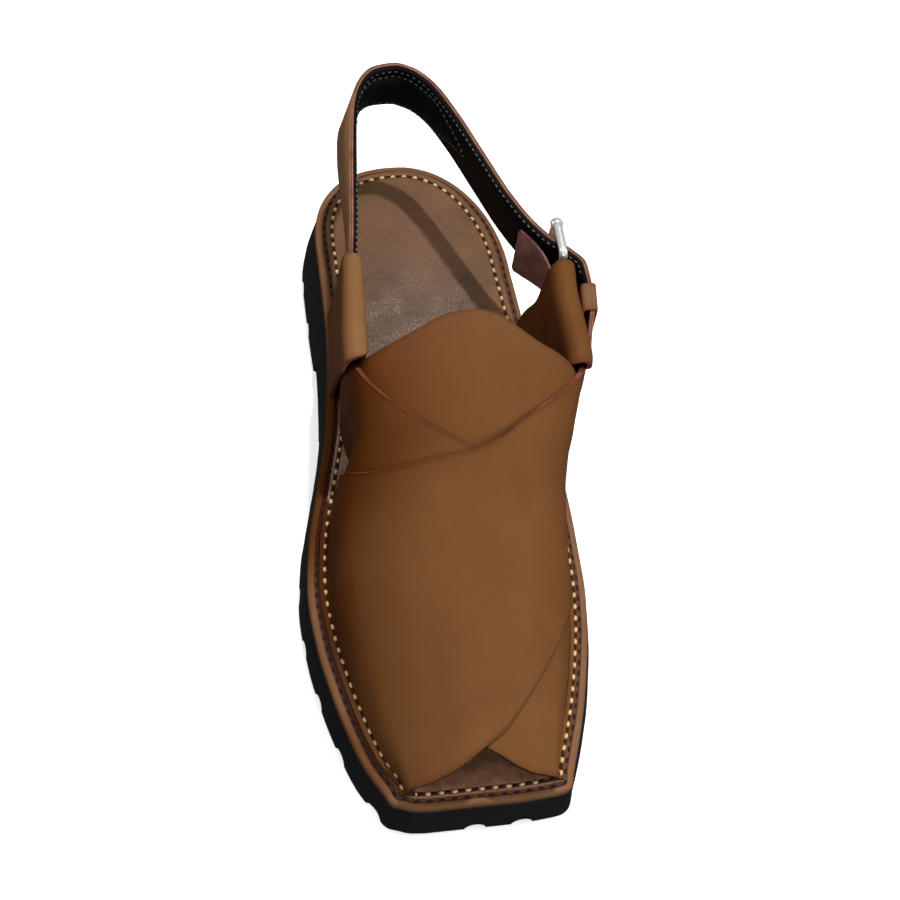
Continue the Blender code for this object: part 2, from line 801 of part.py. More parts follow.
def strap_rows():
    """Centre, lower edge and upper edge of the heel strap along its run."""
    last = STRAP.key[-1]
    steps = np.arange(0.0, last + 0.01, 1.0 / STEPS_PER_ROW)
    face = np.array([(STRAP.at("s", k), STRAP.at("n", k)) for k in steps])
    along = np.gradient(face, axis=0)
    along /= np.linalg.norm(along, axis=1)[:, None]
    out = np.stack((-along[:, 1], along[:, 0]), axis=1)
    centres = face - out * 0.5 * STRAP_THICK
    lows = []
    highs = []
    for k, step in enumerate(steps):
        height = STRAP.at("top", step)
        lean = STRAP.at("lean", step)
        rise = math.sqrt(STRAP.at("width", step) ** 2 - lean ** 2)
        highs.append(np.array((*centres[k], height)))
        lows.append(np.array((*(centres[k] + out[k] * lean), height - rise)))
    return centres, lows, highs


def heel_strap(finish, collection, cutters):
    """Leather band from the medial fold round the heel and through the buckle to its free end."""
    centres, lows, highs = strap_rows()
    thickness = [STRAP_THICK] * len(centres)
    made = ribbon("heel_strap", centres, lows, highs, thickness, finish, collection)
    hole = block("prong_hole", BUCKLE_REAR + 7.0, BUCKLE_FRONT + 3.0, PRONG_N - 3.0, PRONG_N + 1.6,
                 SLOT_LOW, SLOT_HIGH, cutters)
    boolean(made, hole, "DIFFERENCE")
    return made


def row_at(step, steps, rows):
    """A row read between the steps of the strap."""
    return np.array([np.interp(step, steps, column) for column in np.array(rows).T])


def heel_pad(finish, collection):
    """Padded lining on the inner face of the strap behind the heel, pointed at its outer end."""
    centres, lows, highs = strap_rows()
    steps = np.arange(len(centres)) / STEPS_PER_ROW
    along = np.gradient(centres, axis=0)
    along /= np.linalg.norm(along, axis=1)[:, None]
    inward = np.stack((along[:, 1], -along[:, 0]), axis=1)
    rings = []
    for step in np.arange(PAD_START, PAD_END + 0.01, PAD_STEP):
        share = (step - PAD_START) / (PAD_END - PAD_START)
        low = row_at(step, steps, lows)
        high = row_at(step, steps, highs)
        inside = row_at(step, steps, inward)
        point = min(1.0, 4.0 * share, 2.6 * (1.0 - share))
        half = 0.5 * (STRAP_WIDTH - 2 * PAD_MARGIN) * (0.12 + 0.88 * math.sin(0.5 * math.pi * point))
        middle = 0.5 * (low + high)
        up = (high - low) / np.linalg.norm(high - low)
        ring = []
        for height, depth in ((-1.0, 0.0), (1.0, 0.0), (0.8, 0.7), (0.3, 1.0), (-0.3, 1.0), (-0.8, 0.7)):
            spot = middle + up * half * height
            deep = 0.5 * STRAP_THICK + GAP + depth * PAD_THICK * (0.35 + 0.65 * point)
            ring.append(place(*(spot[:2] + inside * deep), spot[2]))
        rings.append(ring)
    return loft("heel_pad", rings, finish, collection)


def wire(name, path, radius, finish, collection, cyclic=False):
    """A round wire along a path of places, made a mesh with its caps welded."""
    curve = bpy.data.curves.new(name, "CURVE")
    curve.dimensions = "3D"
    curve.bevel_depth = radius * MM
    curve.bevel_resolution = 2
    curve.use_fill_caps = True
    spline = curve.splines.new("POLY")
    spline.points.add(len(path) - 1)
    for point, spot in zip(spline.points, path):
        point.co = (*place(*spot), 1.0)
    spline.use_cyclic_u = cyclic
    guide = bpy.data.objects.new(name + "_guide", curve)
    collection.objects.link(guide)
    bpy.context.view_layer.update()
    shape = guide.evaluated_get(bpy.context.evaluated_depsgraph_get())
    mesh = bpy.data.meshes.new_from_object(shape)
    bpy.data.objects.remove(guide, do_unlink=True)
    weld = bmesh.new()
    weld.from_mesh(mesh)
    bmesh.ops.remove_doubles(weld, verts=weld.verts, dist=0.00001)
    bmesh.ops.recalc_face_normals(weld, faces=weld.faces)
    weld.to_mesh(mesh)
    weld.free()
    mesh.name = name
    mesh.materials.clear()
    if finish is not None:
        mesh.materials.append(finish)
    made = bpy.data.objects.new(name, mesh)
    collection.objects.link(made)
    return made


def corner_path(corners, radius, n, segments=4):
    """Closed path in s and z through rounded corners, in the buckle's upright plane."""
    path = []
    for (s, z), start in zip(corners, (180, 90, 0, -90)):
        for k in range(segments + 1):
            angle = math.radians(start - 90.0 * k / segments)
            path.append((s + radius * math.cos(angle), n, z + radius * math.sin(angle)))
    return path


def buckle_frame(finish, collection, cutters):
    """Rectangular wire frame on edge, its rear bar thicker; the front bar sits in the chape."""
    rear = BUCKLE_REAR + BUCKLE_CORNER
    front = BUCKLE_FRONT - BUCKLE_CORNER
    low = BUCKLE_LOW + BUCKLE_CORNER
    high = BUCKLE_HIGH - BUCKLE_CORNER
    corners = ((rear, high), (front, high), (front, low), (rear, low))
    path = corner_path(corners, BUCKLE_CORNER, BUCKLE_N)
    frame = wire("buckle_frame", path, WIRE_RADIUS, finish, collection, True)
    bar_path = (
        (BUCKLE_REAR, BUCKLE_N, BUCKLE_LOW - WIRE_RADIUS + REAR_BAR_SHORT),
        (BUCKLE_REAR, BUCKLE_N, BUCKLE_HIGH + 0.5 * WIRE_RADIUS),
    )
    bar = wire("rear_bar", bar_path, REAR_BAR_RADIUS, finish, cutters)
    hide_helper(bar)
    boolean(frame, bar, "UNION")
    return frame


def buckle_prong(finish, collection):
    """Prong with its eye round the front bar, through the strap, its tip resting on the rear bar."""
    eye = WIRE_RADIUS + GAP + PRONG_RADIUS
    first = math.radians(315.0)
    last = math.radians(450.0)
    path = []
    for k in range(TURNS + 1):
        angle = first + (last - first) * k / TURNS
        path.append((BUCKLE_FRONT + eye * math.cos(angle), BUCKLE_N + eye * math.sin(angle), PRONG_Z))
    path.append((BUCKLE_FRONT - 4.0, PRONG_N, PRONG_Z))
    path.append((BUCKLE_REAR - PRONG_TIP, PRONG_N, PRONG_Z))
    return wire("buckle_prong", path, PRONG_RADIUS, finish, collection)


def fold_lane(s, distance):
    """A place between the leaves of the lateral fold, out from the line below its crest."""
    return s, crest("lateral", s)[0] + distance


def block(name, rear, front, inner, outer, low, high, cutters):
    """A box used to cut a slot."""
    rings = []
    for s in (rear, front):
        rings.append([place(s, inner, low), place(s, outer, low), place(s, outer, high), place(s, inner, high)])
    made = loft(name, rings, None, cutters)
    hide_helper(made)
    return made


def buckle_chape(finish, collection, cutters):
    """Leather loop that holds the front bar, its two ends between the leaves of the lateral fold."""
    radius = WIRE_RADIUS + GAP + 0.5 * CHAPE_THICK
    inner_lane, outer_lane = CHAPE_LANES
    join = BUCKLE_FRONT + CHAPE_JOIN
    path = [fold_lane(CHAPE_END, outer_lane), fold_lane(join, outer_lane)]
    for k in range(TURNS + 1):
        angle = math.radians(60.0 + 240.0 * k / TURNS)
        path.append((BUCKLE_FRONT + radius * math.cos(angle), BUCKLE_N + radius * math.sin(angle)))
    path += [fold_lane(join, inner_lane), fold_lane(CHAPE_END, inner_lane)]
    lows = [np.array((*spot, CHAPE_LOW)) for spot in path]
    highs = [np.array((*spot, CHAPE_HIGH)) for spot in path]
    made = ribbon("buckle_chape", path, lows, highs, [CHAPE_THICK] * len(path), finish, collection)
    slot = block("prong_slot", BUCKLE_FRONT - 6.0, BUCKLE_FRONT + 4.0, BUCKLE_N - 4.0, BUCKLE_N + 6.0,
                 SLOT_LOW, SLOT_HIGH, cutters)
    boolean(made, slot, "DIFFERENCE")
    return made


def buckle_backing(finish, collection):
    """Suede tab between the foot and the buckle, its front end inside the lateral fold."""
    steps = np.arange(0.0, BACKING.key[-1] + 0.01, 0.5)
    path = [(BACKING.at("s", k), BACKING.at("n", k)) for k in steps]
    path += [fold_lane(BUCKLE_FRONT + CHAPE_JOIN, BACKING_LANE), fold_lane(BACKING_END, BACKING_LANE)]
    steps = list(steps) + [BACKING.key[-1]] * 2
    lows = [np.array((*spot, BACKING.at("low", k))) for spot, k in zip(path, steps)]
    highs = [np.array((*spot, BACKING.at("high", k))) for spot, k in zip(path, steps)]
    return ribbon("buckle_backing", path, lows, highs, [BACKING_THICK] * len(path), finish, collection)


def strap_keeper(finish, collection):
    """Leather ring round the strap's free end."""
    rings = []
    low = STRAP_TOP - STRAP_WIDTH - GAP
    high = STRAP_TOP + GAP
    for s in (KEEPER_REAR, KEEPER_FRONT):
        face = float(np.interp(s, STRAP.columns["s"][-KEEPER_ROWS:], STRAP.columns["n"][-KEEPER_ROWS:]))
        near = face - STRAP_THICK - KEEPER_EASE
        far = face + KEEPER_EASE
        inner = rounded_box(near, far, low, high, KEEPER_CORNER)
        outer = rounded_box(near - KEEPER_THICK, far + KEEPER_THICK, low - KEEPER_THICK,
                            high + KEEPER_THICK, KEEPER_CORNER + KEEPER_THICK)
        rings.append((s, inner, outer))
    count = len(rings[0][1])
    points = []
    for s, inner, outer in rings:
        points += [place(s, *spot) for spot in inner]
        points += [place(s, *spot) for spot in outer]
    faces = []
    for j in range(count):
        k = (j + 1) % count
        rear_in, rear_out, front_in, front_out = 0, count, 2 * count, 3 * count
        faces.append((rear_in + j, rear_in + k, rear_out + k, rear_out + j))
        faces.append((front_in + j, front_in + k, front_out + k, front_out + j))
        faces.append((rear_in + j, rear_in + k, front_in + k, front_in + j))
        faces.append((rear_out + j, rear_out + k, front_out + k, front_out + j))
    return mesh_object("strap_keeper", points, faces, finish, collection)


def rounded_box(left, right, low, high, radius):
    spots = []
    centres = ((right - radius, high - radius), (left + radius, high - radius),
               (left + radius, low + radius), (right - radius, low + radius))
    for (n, z), start in zip(centres, (0, 90, 180, 270)):
        for k in range(4):
            angle = math.radians(start + 30.0 * k)
            spots.append((n + radius * math.cos(angle), z + radius * math.sin(angle)))
    return spots


def main():
    clear_scene()
    parts = new_collection("peshawari_chappal")
    cutters = new_collection("cutters")
    brown = material("brown_leather", (0.20, 0.085, 0.03), 0.5)
    mauve = material("insole_leather", (0.18, 0.10, 0.07), 0.45)
    edge_brown = material("midsole_leather", (0.22, 0.11, 0.06), 0.6)
    rubber = material("black_rubber", (0.012, 0.012, 0.012), 0.6)
    lining = material("black_lining", (0.01, 0.01, 0.012), 0.6)
    suede = material("suede", (0.10, 0.045, 0.045), 0.9)
    silver = material("silver", (0.75, 0.75, 0.74), 0.25, 1.0)
    outsole(rubber, parts, cutters)
    midsole(edge_brown, parts)
    insole(mauve, parts)
    upper(brown, parts, cutters)
    tongue(brown, parts)
    quarter("medial", brown, parts)
    quarter("lateral", brown, parts)
    heel_strap(brown, parts, cutters)
    heel_pad(lining, parts)
    buckle_frame(silver, parts, cutters)
    buckle_prong(silver, parts)
    buckle_chape(brown, parts, cutters)
    buckle_backing(suede, parts)
    strap_keeper(brown, parts)


main()
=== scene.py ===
"""Look of a peshawari chappal, left shoe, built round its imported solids.

Sizes are millimetres in the shoe's own frame: s runs forward from the heel edge of the midsole, n out
from the long axis towards the buckle, z up from the tread. The tables start from those of the part's
source; some rows of the upper, the quarters and the strap are drawn closer to the real shoe.
"""
import math

import bmesh
import bpy
import numpy as np
from mathutils import Matrix, Vector

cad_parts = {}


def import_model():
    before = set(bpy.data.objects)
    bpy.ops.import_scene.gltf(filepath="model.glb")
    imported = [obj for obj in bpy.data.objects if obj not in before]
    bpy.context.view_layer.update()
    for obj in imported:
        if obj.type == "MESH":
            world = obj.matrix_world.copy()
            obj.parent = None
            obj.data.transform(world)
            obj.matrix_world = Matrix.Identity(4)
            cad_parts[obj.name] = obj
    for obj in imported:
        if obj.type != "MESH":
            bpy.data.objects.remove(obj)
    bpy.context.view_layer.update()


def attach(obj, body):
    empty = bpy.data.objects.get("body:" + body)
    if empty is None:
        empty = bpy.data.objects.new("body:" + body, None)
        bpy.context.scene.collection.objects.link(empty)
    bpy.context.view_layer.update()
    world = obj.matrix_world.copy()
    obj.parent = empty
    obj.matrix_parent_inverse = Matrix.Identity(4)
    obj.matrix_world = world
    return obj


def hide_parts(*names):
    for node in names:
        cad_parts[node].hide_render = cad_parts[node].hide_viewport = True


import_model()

MM = 0.001
UP = np.array((0, 0, 1))
CENTRE_S, CENTRE_N = 140.65, 2.1
SIGN = {"medial": -1, "lateral": 1}
LENGTH, TOE_START, TOE_CORNER = 284, 274, 276
MIDSOLE_THICK, INSOLE_THICK, GAP = 4, 2, 0.3
LEATHER, SKIVE = 1.9, 0.5
LAP_RISE, LAP_RUN = 1.5, 16
STRAP_THICK, STRAP_LEATHER = 3.2, 1.6


def world(s, n, z):
    """World points, metres, from places in the shoe's frame."""
    s, n, z = np.broadcast_arrays(*(np.asarray(v, float) for v in (s, n, z)))
    return np.stack((n - CENTRE_N, CENTRE_S - s, z), axis=-1) * MM


def flat_world(places, z):
    """World points above places in s and n."""
    return world(places[..., 0], places[..., 1], z)


def flat_way(way):
    """Unit world directions from directions in s and n."""
    return rounded(flat_world(way, 0) - world(0, 0, 0))


def rounded(rows):
    """Rows scaled to length one."""
    return rows / np.maximum(np.linalg.norm(rows, axis=-1, keepdims=True), 1e-12)


def pair(a, b):
    return np.stack(np.broadcast_arrays(a, b), -1)


def run_of(points):
    """Length along rows of points, from nought at the first."""
    step = np.linalg.norm(np.diff(points, axis=0), axis=-1)
    return np.concatenate((0 * step[:1], np.cumsum(step, axis=0)))


def read_rows(at, run, rows):
    """Rows read at places between those of their run."""
    return np.stack([np.interp(at, run, column) for column in np.transpose(rows)], -1)


def relax(rows, times):
    """Draws each inner row towards its neighbours."""
    for _ in range(times):
        rows[1:-1] = 0.5 * rows[1:-1] + 0.25 * (rows[2:] + rows[:-2])
    return rows


def smooth(low, high, value):
    u = np.clip((np.asarray(value, float) - low) / (high - low), 0, 1)
    return u * u * (3 - 2 * u)


def hermite(a, b, leave, arrive, u):
    """A curve from a to b that leaves and arrives with the given slopes."""
    start = (1 + 2 * u) * (1 - u) ** 2 * a + u * (1 - u) ** 2 * leave
    return start + u * u * (3 - 2 * u) * b + u * u * (u - 1) * arrive


class Table:
    """Named columns read between their rows by a smooth curve that does not overshoot."""

    def __init__(self, columns, rows):
        rows = np.array(rows, float)
        self.key = rows[:, 0]
        self.data = dict(zip(columns.split(), rows.T))
        self.slope = {c: self.slopes(y) for c, y in self.data.items()}

    def slopes(self, y):
        step = np.diff(self.key)
        rise = np.diff(y) / step
        out = np.concatenate(([rise[0]], np.zeros(len(y) - 2), [rise[-1]]))
        for i in range(1, len(y) - 1):
            if rise[i - 1] * rise[i] > 0:
                a, b = 2 * step[i] + step[i - 1], step[i] + 2 * step[i - 1]
                out[i] = (a + b) / (a / rise[i - 1] + b / rise[i])
        return out

    def __call__(self, column, key):
        x, y, m = self.key, self.data[column], self.slope[column]
        key = np.clip(key, x[0], x[-1])
        i = np.clip(np.searchsorted(x, key, side="right") - 1, 0, len(x) - 2)
        h = x[i + 1] - x[i]
        return hermite(y[i], y[i + 1], h * m[i], h * m[i + 1], (key - x[i]) / h)


# ---- sizes and outlines

OUTLINE = Table("s medial lateral", [
    (42, -36.9, 40.9), (60, -36.7, 42.4), (80, -36.6, 43.8), (105, -38.2, 46), (127, -40.8, 48.4),
    (151, -46.2, 50), (177, -52, 50.9), (198, -54, 50.8), (218, -52.4, 48.9), (234, -49.4, 45.8),
    (250, -45.4, 41.8), (266, -40.2, 36.6), (276, -34.8, 33), (281, -31.9, 31.3), (281.7, -30, 30.6),
    (282.6, -27.6, 28.9), (283.5, -25, 21), (LENGTH, -20, 12)])
HEEL_CENTRE = 1.5
HEEL_OVAL = {"medial": (42, -38.4, 2.4), "lateral": (60, 40.9, 2)}
PROFILE = Table("s top floor flare", [
    (0, 32, 0, 5), (60, 32, 0, 5.5), (83, 31, 0, 5), (85, 30.8, 8, 4.6), (103, 28.6, 8, 3.6),
    (106, 28.1, 0, 3.4), (125, 25.2, 0, 3), (151, 22.2, 0, 3), (198, 20.3, 0, 3.2), (238, 20.2, 0, 3.2),
    (262, 21.6, 0.7, 2.8), (LENGTH, 24, 1.6, 1.9)])
ARCH = Table("s crown_n crown_z medial_n medial_z lateral_n lateral_z medial_foot lateral_foot", [
    (80, 12, 99, -26.7, 84.5, 52.6, 84.5, 8, 10), (115, 11.5, 94, -29.5, 84.5, 49, 84.5, 7.2, 10),
    (128, 11, 91.5, -30.4, 84, 49.6, 84.5, 7.2, 10), (140, 10.5, 88, -30.6, 80.5, 50.6, 83.4, 10.6, 10.2),
    (150, 10.2, 84, -29.9, 74.5, 47.2, 77.4, 16.2, 10.6), (157, 9.9, 81, -29.9, 70, 43.4, 72, 20.4, 11),
    (165, 9.5, 77.5, -31, 65, 39.6, 66.4, 11.6, 11.4), (172, 8.6, 73.8, -32.4, 61.2, 38, 61.6, 10.2, 11.5),
    (180, 7.6, 70.2, -33.6, 57.5, 36.8, 57.2, 9.8, 11.6), (195, 5, 63, -34.5, 51, 35, 50.5, 9.6, 11),
    (210, 3.4, 57.8, -34.2, 46.6, 33.4, 46.3, 9, 9), (230, 1.5, 52, -33, 42, 31, 42, 8.6, 8.2),
    (255, 0.3, 46.5, -28.5, 37.5, 26.5, 37.5, 8.4, 8), (LENGTH, 0, 41.5, -23, 34.5, 21.5, 34.5, 8.2, 7.8)])
# Shares of the way over the arch: its turned-out flange, the foot of the wall, the shoulder, the crown
FLANGE_END, WALL_START, SHOULDER, CROWN = 0.05, 0.08, 0.28, 0.5
FILLET, FOOT_EASE, INSOLE_INSET = 1.2, 1.2, 4.3
UNDER_PANEL = Table("t rear front", [
    (0.085, 112, 151), (0.1, 112.5, 153), (0.18, 120.5, 178), (0.25, 131, 210), (0.273, 135.6, 218),
    (0.32, 146.3, 232), (0.369, 155, 244), (0.43, 163.5, 257), (0.499, 170.7, 271.4), (0.538, 172.6, 274.6),
    (0.591, 173, 278.4), (0.653, 171, 280.6), (0.72, 166, 281), (0.8, 160, 280.4), (0.9, 152, 279.5),
    (1, 149, 279)])
TOP_PANEL = Table("t rear front", [
    (0, 159.5, 279), (0.05, 157, 279.4), (0.065, 155.6, 279.5), (0.08, 154.2, 279.6), (0.1, 152.8, 279.7),
    (0.12, 154.8, 279.8), (0.18, 161.5, 280), (0.25, 168, 280.2), (0.317, 172.1, 280.2), (0.37, 172.9, 279.2),
    (0.44, 172.2, 276), (0.497, 170.8, 271.5), (0.553, 167.3, 266.6), (0.594, 162.4, 260.5),
    (0.632, 157.6, 253.3), (0.665, 153.4, 246.6), (0.7, 148, 238), (0.73, 142, 230), (0.755, 137.8, 225),
    (0.82, 130, 214), (0.915, 122, 192)])
TONGUE = Table("t rear front", [
    (0.2, 142, 150), (0.275, 136, 170), (0.318, 136.2, 180), (0.358, 134.4, 184), (0.401, 130.4, 186),
    (0.435, 126.1, 187), (0.468, 123.2, 187), (0.507, 122.4, 187), (0.544, 124.4, 187), (0.574, 130, 186),
    (0.614, 138.6, 184), (0.64, 142, 182), (0.665, 144.2, 179), (0.72, 147.2, 171), (0.8, 151, 160)])
# Each quarter: the crest's radius, the spread at its inner and its outer knee, its outline
QUARTERS = {
    "medial": (3.1, 0, 1, Table("p rear front", [
        (0, 90, 111), (0.42, 90.5, 131.5), (0.46, 90.5, 136), (0.54, 90, 137.5), (0.7, 87, 131),
        (0.85, 80, 121), (1, 78, 114)])),
    "lateral": (3.2, 2, 0, Table("p rear front", [
        (0, 97, 122), (0.12, 94.5, 127), (0.19, 95, 131), (0.235, 99.6, 133), (0.28, 98.4, 136),
        (0.36, 98.6, 139.5), (0.42, 100.4, 143), (0.47, 99.8, 144.8), (0.54, 99.4, 144.8), (0.58, 101, 144.4),
        (0.64, 101.5, 141), (0.7, 101.5, 136), (0.85, 97, 127), (1, 90, 120)])),
}
CREST_START, CREST_END, CREST_Z, KNEE_Z, KNEE_SHARE = 0.42, 0.58, 84.5, 62, 0.4
QUARTER_FOOT_IN, QUARTER_FOOT_OUT, QUARTER_REST = 8.9, 1.6, 0.85
STRAP = Table("step s n top lean width", [
    (0, 117, -32.2, 85, 0, 22), (1, 104, -31.2, 85, 0, 22), (2, 92, -30, 85.2, 0, 22),
    (3, 73, -27.8, 88.3, 0.8, 22), (4, 56, -26.2, 90.4, 2.2, 22), (5, 33, -23.9, 93.4, 4.5, 22),
    (6, 20, -22, 95, 5, 22), (7, 10.5, -18.1, 96.3, 4, 22), (8, 4.5, -12, 97, 2, 22),
    (9, 2.6, -3.3, 97, 0.5, 22), (10, 5.4, 3.8, 97, 0, 22), (11, 13, 11.5, 96.3, 0, 22),
    (12, 28, 19.1, 95, 0, 22), (13, 47.5, 27, 92.8, 0, 22), (14, 67, 35.5, 89.6, 0, 22),
    (15, 79, 43, 87, 0, 22), (16, 86.5, 49.2, 86, 0, 22), (17, 92.6, 55.4, 86, 0, 22),
    (18, 99.6, 59.8, 86, 0, 22), (19, 109, 60, 86, 0, 22), (20, 121.5, 58.6, 86, 0, 22),
    (21, 125.5, 57.9, 83.4, 0, 20), (22, 129.5, 57.2, 80.6, 0, 16.5), (23, 133, 56.6, 78.4, 0, 11)])
LINING_END = 19
PAD_DROP, PAD_START, PAD_TIP = 1.5, 5.35, 12.6
BUCKLE_N, BUCKLE_REAR, BUCKLE_FRONT, BUCKLE_LOW, BUCKLE_HIGH = 51, 81, 96.6, 60, 88.4
WIRE, BAR, PRONG, PRONG_Z = 1.2, 2.3, 0.9, 74
BACKING = Table("step s n low high", [
    (0, 76, 36, 56, 82.6), (1, 81.5, 39.8, 57.5, 82), (2, 87.5, 43.9, 60, 80.6),
    (3, 93.5, 46.2, 62.8, 80.6), (4, 98.2, 47, 64.5, 81)])
KEEPER_REAR, KEEPER_FRONT, KEEPER_LOW, KEEPER_HIGH = 110, 122, 64, 86

# Distance in from the midsole's edge of the dark row and of the pale row of stitches
ROWS = Table("s medial_dark medial_pale lateral_dark lateral_pale", [
    (0, 3.1, 7.7, 3.1, 7.7), (8, 3.2, 7.3, 2.9, 7.5), (22, 3.6, 7, 2.7, 7.5), (60, 4, 6.9, 2.6, 7.3),
    (85, 3.9, 6.9, 2.6, 6.9), (110, 3.6, 6.7, 2.7, 6.2), (160, 3.3, 6.3, 3, 5.6), (200, 3.2, 6.5, 3, 5.4),
    (230, 3.2, 6.7, 3, 5.3), (LENGTH, 3, 6.2, 3.2, 5.4)])
INSOLE_SIDES = {"medial": 4.6, "lateral": 4.3}
FLANGE_REAR, FLANGE_FRONT = {"medial": 160.5, "lateral": 150.5}, 278.4


# ---- meshes

def piece(name, verts, faces, skins, marks=None, values=None, weld=0, replaces=None, slot=None):
    """A smooth-shaded mesh that rides on the shoe, its faces turned outwards, with values at its points."""
    mesh = bpy.data.meshes.new(name)
    mesh.from_pydata(np.asarray(verts, float).tolist(), [], [list(map(int, f)) for f in faces])
    for skin in skins:
        mesh.materials.append(skin)
    if marks is not None:
        mesh.polygons.foreach_set("material_index", np.asarray(marks, np.int32))
    for key, numbers in (values or {}).items():
        mesh.attributes.new(key, "FLOAT", "POINT").data.foreach_set("value", np.asarray(numbers, np.float32))
    shape = bmesh.new()
    shape.from_mesh(mesh)
    if weld:
        bmesh.ops.remove_doubles(shape, verts=shape.verts, dist=weld * MM)
    bmesh.ops.dissolve_degenerate(shape, edges=shape.edges, dist=1e-7)
    bmesh.ops.recalc_face_normals(shape, faces=shape.faces)
    for face in shape.faces:
        face.smooth = True
    shape.to_mesh(mesh)
    shape.free()
    made = bpy.data.objects.new(name, mesh)
    bpy.context.scene.collection.objects.link(made)
    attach(made, "root")
    if replaces:
        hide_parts(replaces)
    return made


def round_edges(made, width, angle=42):
    """Rounds the hard edges of a piece and keeps its flat faces flat."""
    bevel = made.modifiers.new("Edges", "BEVEL")
    bevel.width = width * MM
    bevel.segments = 2
    bevel.limit_method = "ANGLE"
    bevel.angle_limit = math.radians(angle)
    bevel.harden_normals = True


def grid_faces(rows, cols, start=0, wrap=False):
    """Quads over a grid numbered row by row."""
    index = start + np.arange(rows * cols).reshape(rows, cols)
    if wrap:
        index = np.hstack((index, index[:, :1]))
    return np.stack((index[:-1, :-1], index[:-1, 1:], index[1:, 1:], index[1:, :-1]), -1).reshape(-1, 4)


def caps(rings, sides, start=0):
    """The two end faces of a tube."""
    last = start + (rings - 1) * sides
    return [list(range(start, start + sides))[::-1], list(range(last, last + sides))]


def circle(sides):
    """Cosines and sines of even steps round a circle, as columns."""
    turn = np.linspace(0, 2 * math.pi, sides, endpoint=False)[:, None]
    return np.cos(turn), np.sin(turn)


def border_distance(grid):
    """Millimetres from each grid point to the nearest border of its sheet."""
    down, along = (np.minimum(run, run[-1] - run) for run in (run_of(grid), run_of(grid.swapaxes(0, 1))))
    return np.minimum(down, along.T) / MM


def shell(name, inner, outer, skins, rims, bevel=0.35, shade=None, **more):
    """Leather between two grids: skins for its outside, inside and cut edges; rims picks each border's."""
    rows, cols = inner.shape[:2]
    count = rows * cols
    face = grid_faces(rows, cols)
    faces = [face, face[:, ::-1] + count]
    marks = [np.zeros(len(face)), np.ones(len(face))]
    index = np.arange(count).reshape(rows, cols)
    for border, skin in zip((index[:, 0], index[:, -1], index[0], index[-1]), rims):
        strip = np.stack((border[:-1], border[1:], border[1:] + count, border[:-1] + count), axis=-1)
        faces.append(strip)
        marks.append(np.full(len(strip), skin))
    values = {"edge": np.tile(border_distance(outer).ravel(), 2)}
    if shade is not None:
        values["shade"] = np.tile(shade.ravel(), 2)
    verts = np.concatenate((outer.reshape(-1, 3), inner.reshape(-1, 3)))
    made = piece(name, verts, np.concatenate(faces), skins, np.concatenate(marks), values, **more)
    if bevel:
        round_edges(made, bevel)
    return made


def sweep(name, centres, across, up, section, skins, marks=None, closed=False, **more):
    """A loft along centres: section is a closed line of (across, up) millimetres, or one line per centre."""
    count = len(centres)
    section = np.asarray(section, float)
    section = np.broadcast_to(section, (count, *section.shape[-2:]))
    sides = section.shape[1]
    verts = centres[:, None] + (across[:, None] * section[..., :1] + up[:, None] * section[..., 1:]) * MM
    faces = (grid_faces(count + closed, sides, wrap=True) % (count * sides)).tolist()
    skin = (marks or [0] * sides) * (count - 1 + closed)
    if not closed:
        faces += caps(count, sides)
        skin += [0, 0]
    rise = section[..., 1]
    reach = np.minimum(rise - rise.min(axis=1, keepdims=True), rise.max(axis=1, keepdims=True) - rise)
    return piece(name, verts.reshape(-1, 3), faces, skins, skin, {"edge": reach.ravel()}, **more)


def tube(name, path, radius, square, sides=18, closed=False, **more):
    """A plated wire along world points in the plane square to a direction, with its radius at each point."""
    way = np.roll(path, -1, axis=0) - np.roll(path, 1, axis=0) if closed else np.gradient(path, axis=0)
    along = rounded(way)
    across = rounded(np.cross(along, square))
    section = np.hstack(circle(sides)) * np.broadcast_to(radius, len(path))[:, None, None]
    return sweep(name, path, across, rounded(np.cross(across, along)), section, [SILVER], closed=closed,
                 slot="silver", **more)


# ---- the sole's outline

def edge(side, s):
    """The midsole's edge: an oval round the heel, then the outline."""
    s = np.asarray(s, float)
    reach, half, power = HEEL_OVAL[side]
    share = np.clip((reach - np.maximum(s, 0)) / reach, 0, 1)
    return np.where(s >= reach, OUTLINE(side, s), HEEL_CENTRE + half * (1 - share ** power) ** (1 / power))


def top(s):
    return PROFILE("top", s)


def floor_at(s):
    """Height of the tread, straight between the table's rows."""
    return np.interp(s, PROFILE.key, PROFILE.data["floor"])


def insole_top(s):
    """Height of the insole's upper face, skived thinner towards the toe."""
    return top(s) + GAP + INSOLE_THICK * (1 - 0.45 * smooth(270, 280, s))


# Stations along the sole, with none on the two steep slopes of the tread
HEEL_REACH = OUTLINE.key[0]
HEEL_RUN = HEEL_REACH * (1 - np.cos(np.linspace(0, math.pi / 2, 34)))[1:-1]
STRETCHES = [np.linspace(*ends) for ends in ((HEEL_REACH, 83, 22), (85, 103, 10), (106, TOE_START, 88))]
STATIONS = np.concatenate((HEEL_RUN, *STRETCHES, np.linspace(TOE_START, LENGTH, 22)[1:]))
RUNG = 14
COUNT = len(STATIONS)
SIDE_M = np.arange(1, COUNT + 1)
SIDE_L = np.arange(2 * COUNT + RUNG, COUNT + RUNG, -1)
FRONT = np.arange(COUNT + 1, COUNT + 1 + RUNG)
FRONT_N = np.linspace(edge("medial", LENGTH), edge("lateral", LENGTH), RUNG + 2)[1:-1]
LOOP = np.concatenate((
    [(0, HEEL_CENTRE)], pair(STATIONS, edge("medial", STATIONS)), pair(LENGTH, FRONT_N),
    pair(STATIONS, edge("lateral", STATIONS))[::-1]))
LOOP_RUN = np.roll(LOOP, -1, axis=0) - np.roll(LOOP, 1, axis=0)
LOOP_OUT = rounded(pair(LOOP_RUN[:, 1], -LOOP_RUN[:, 0]))


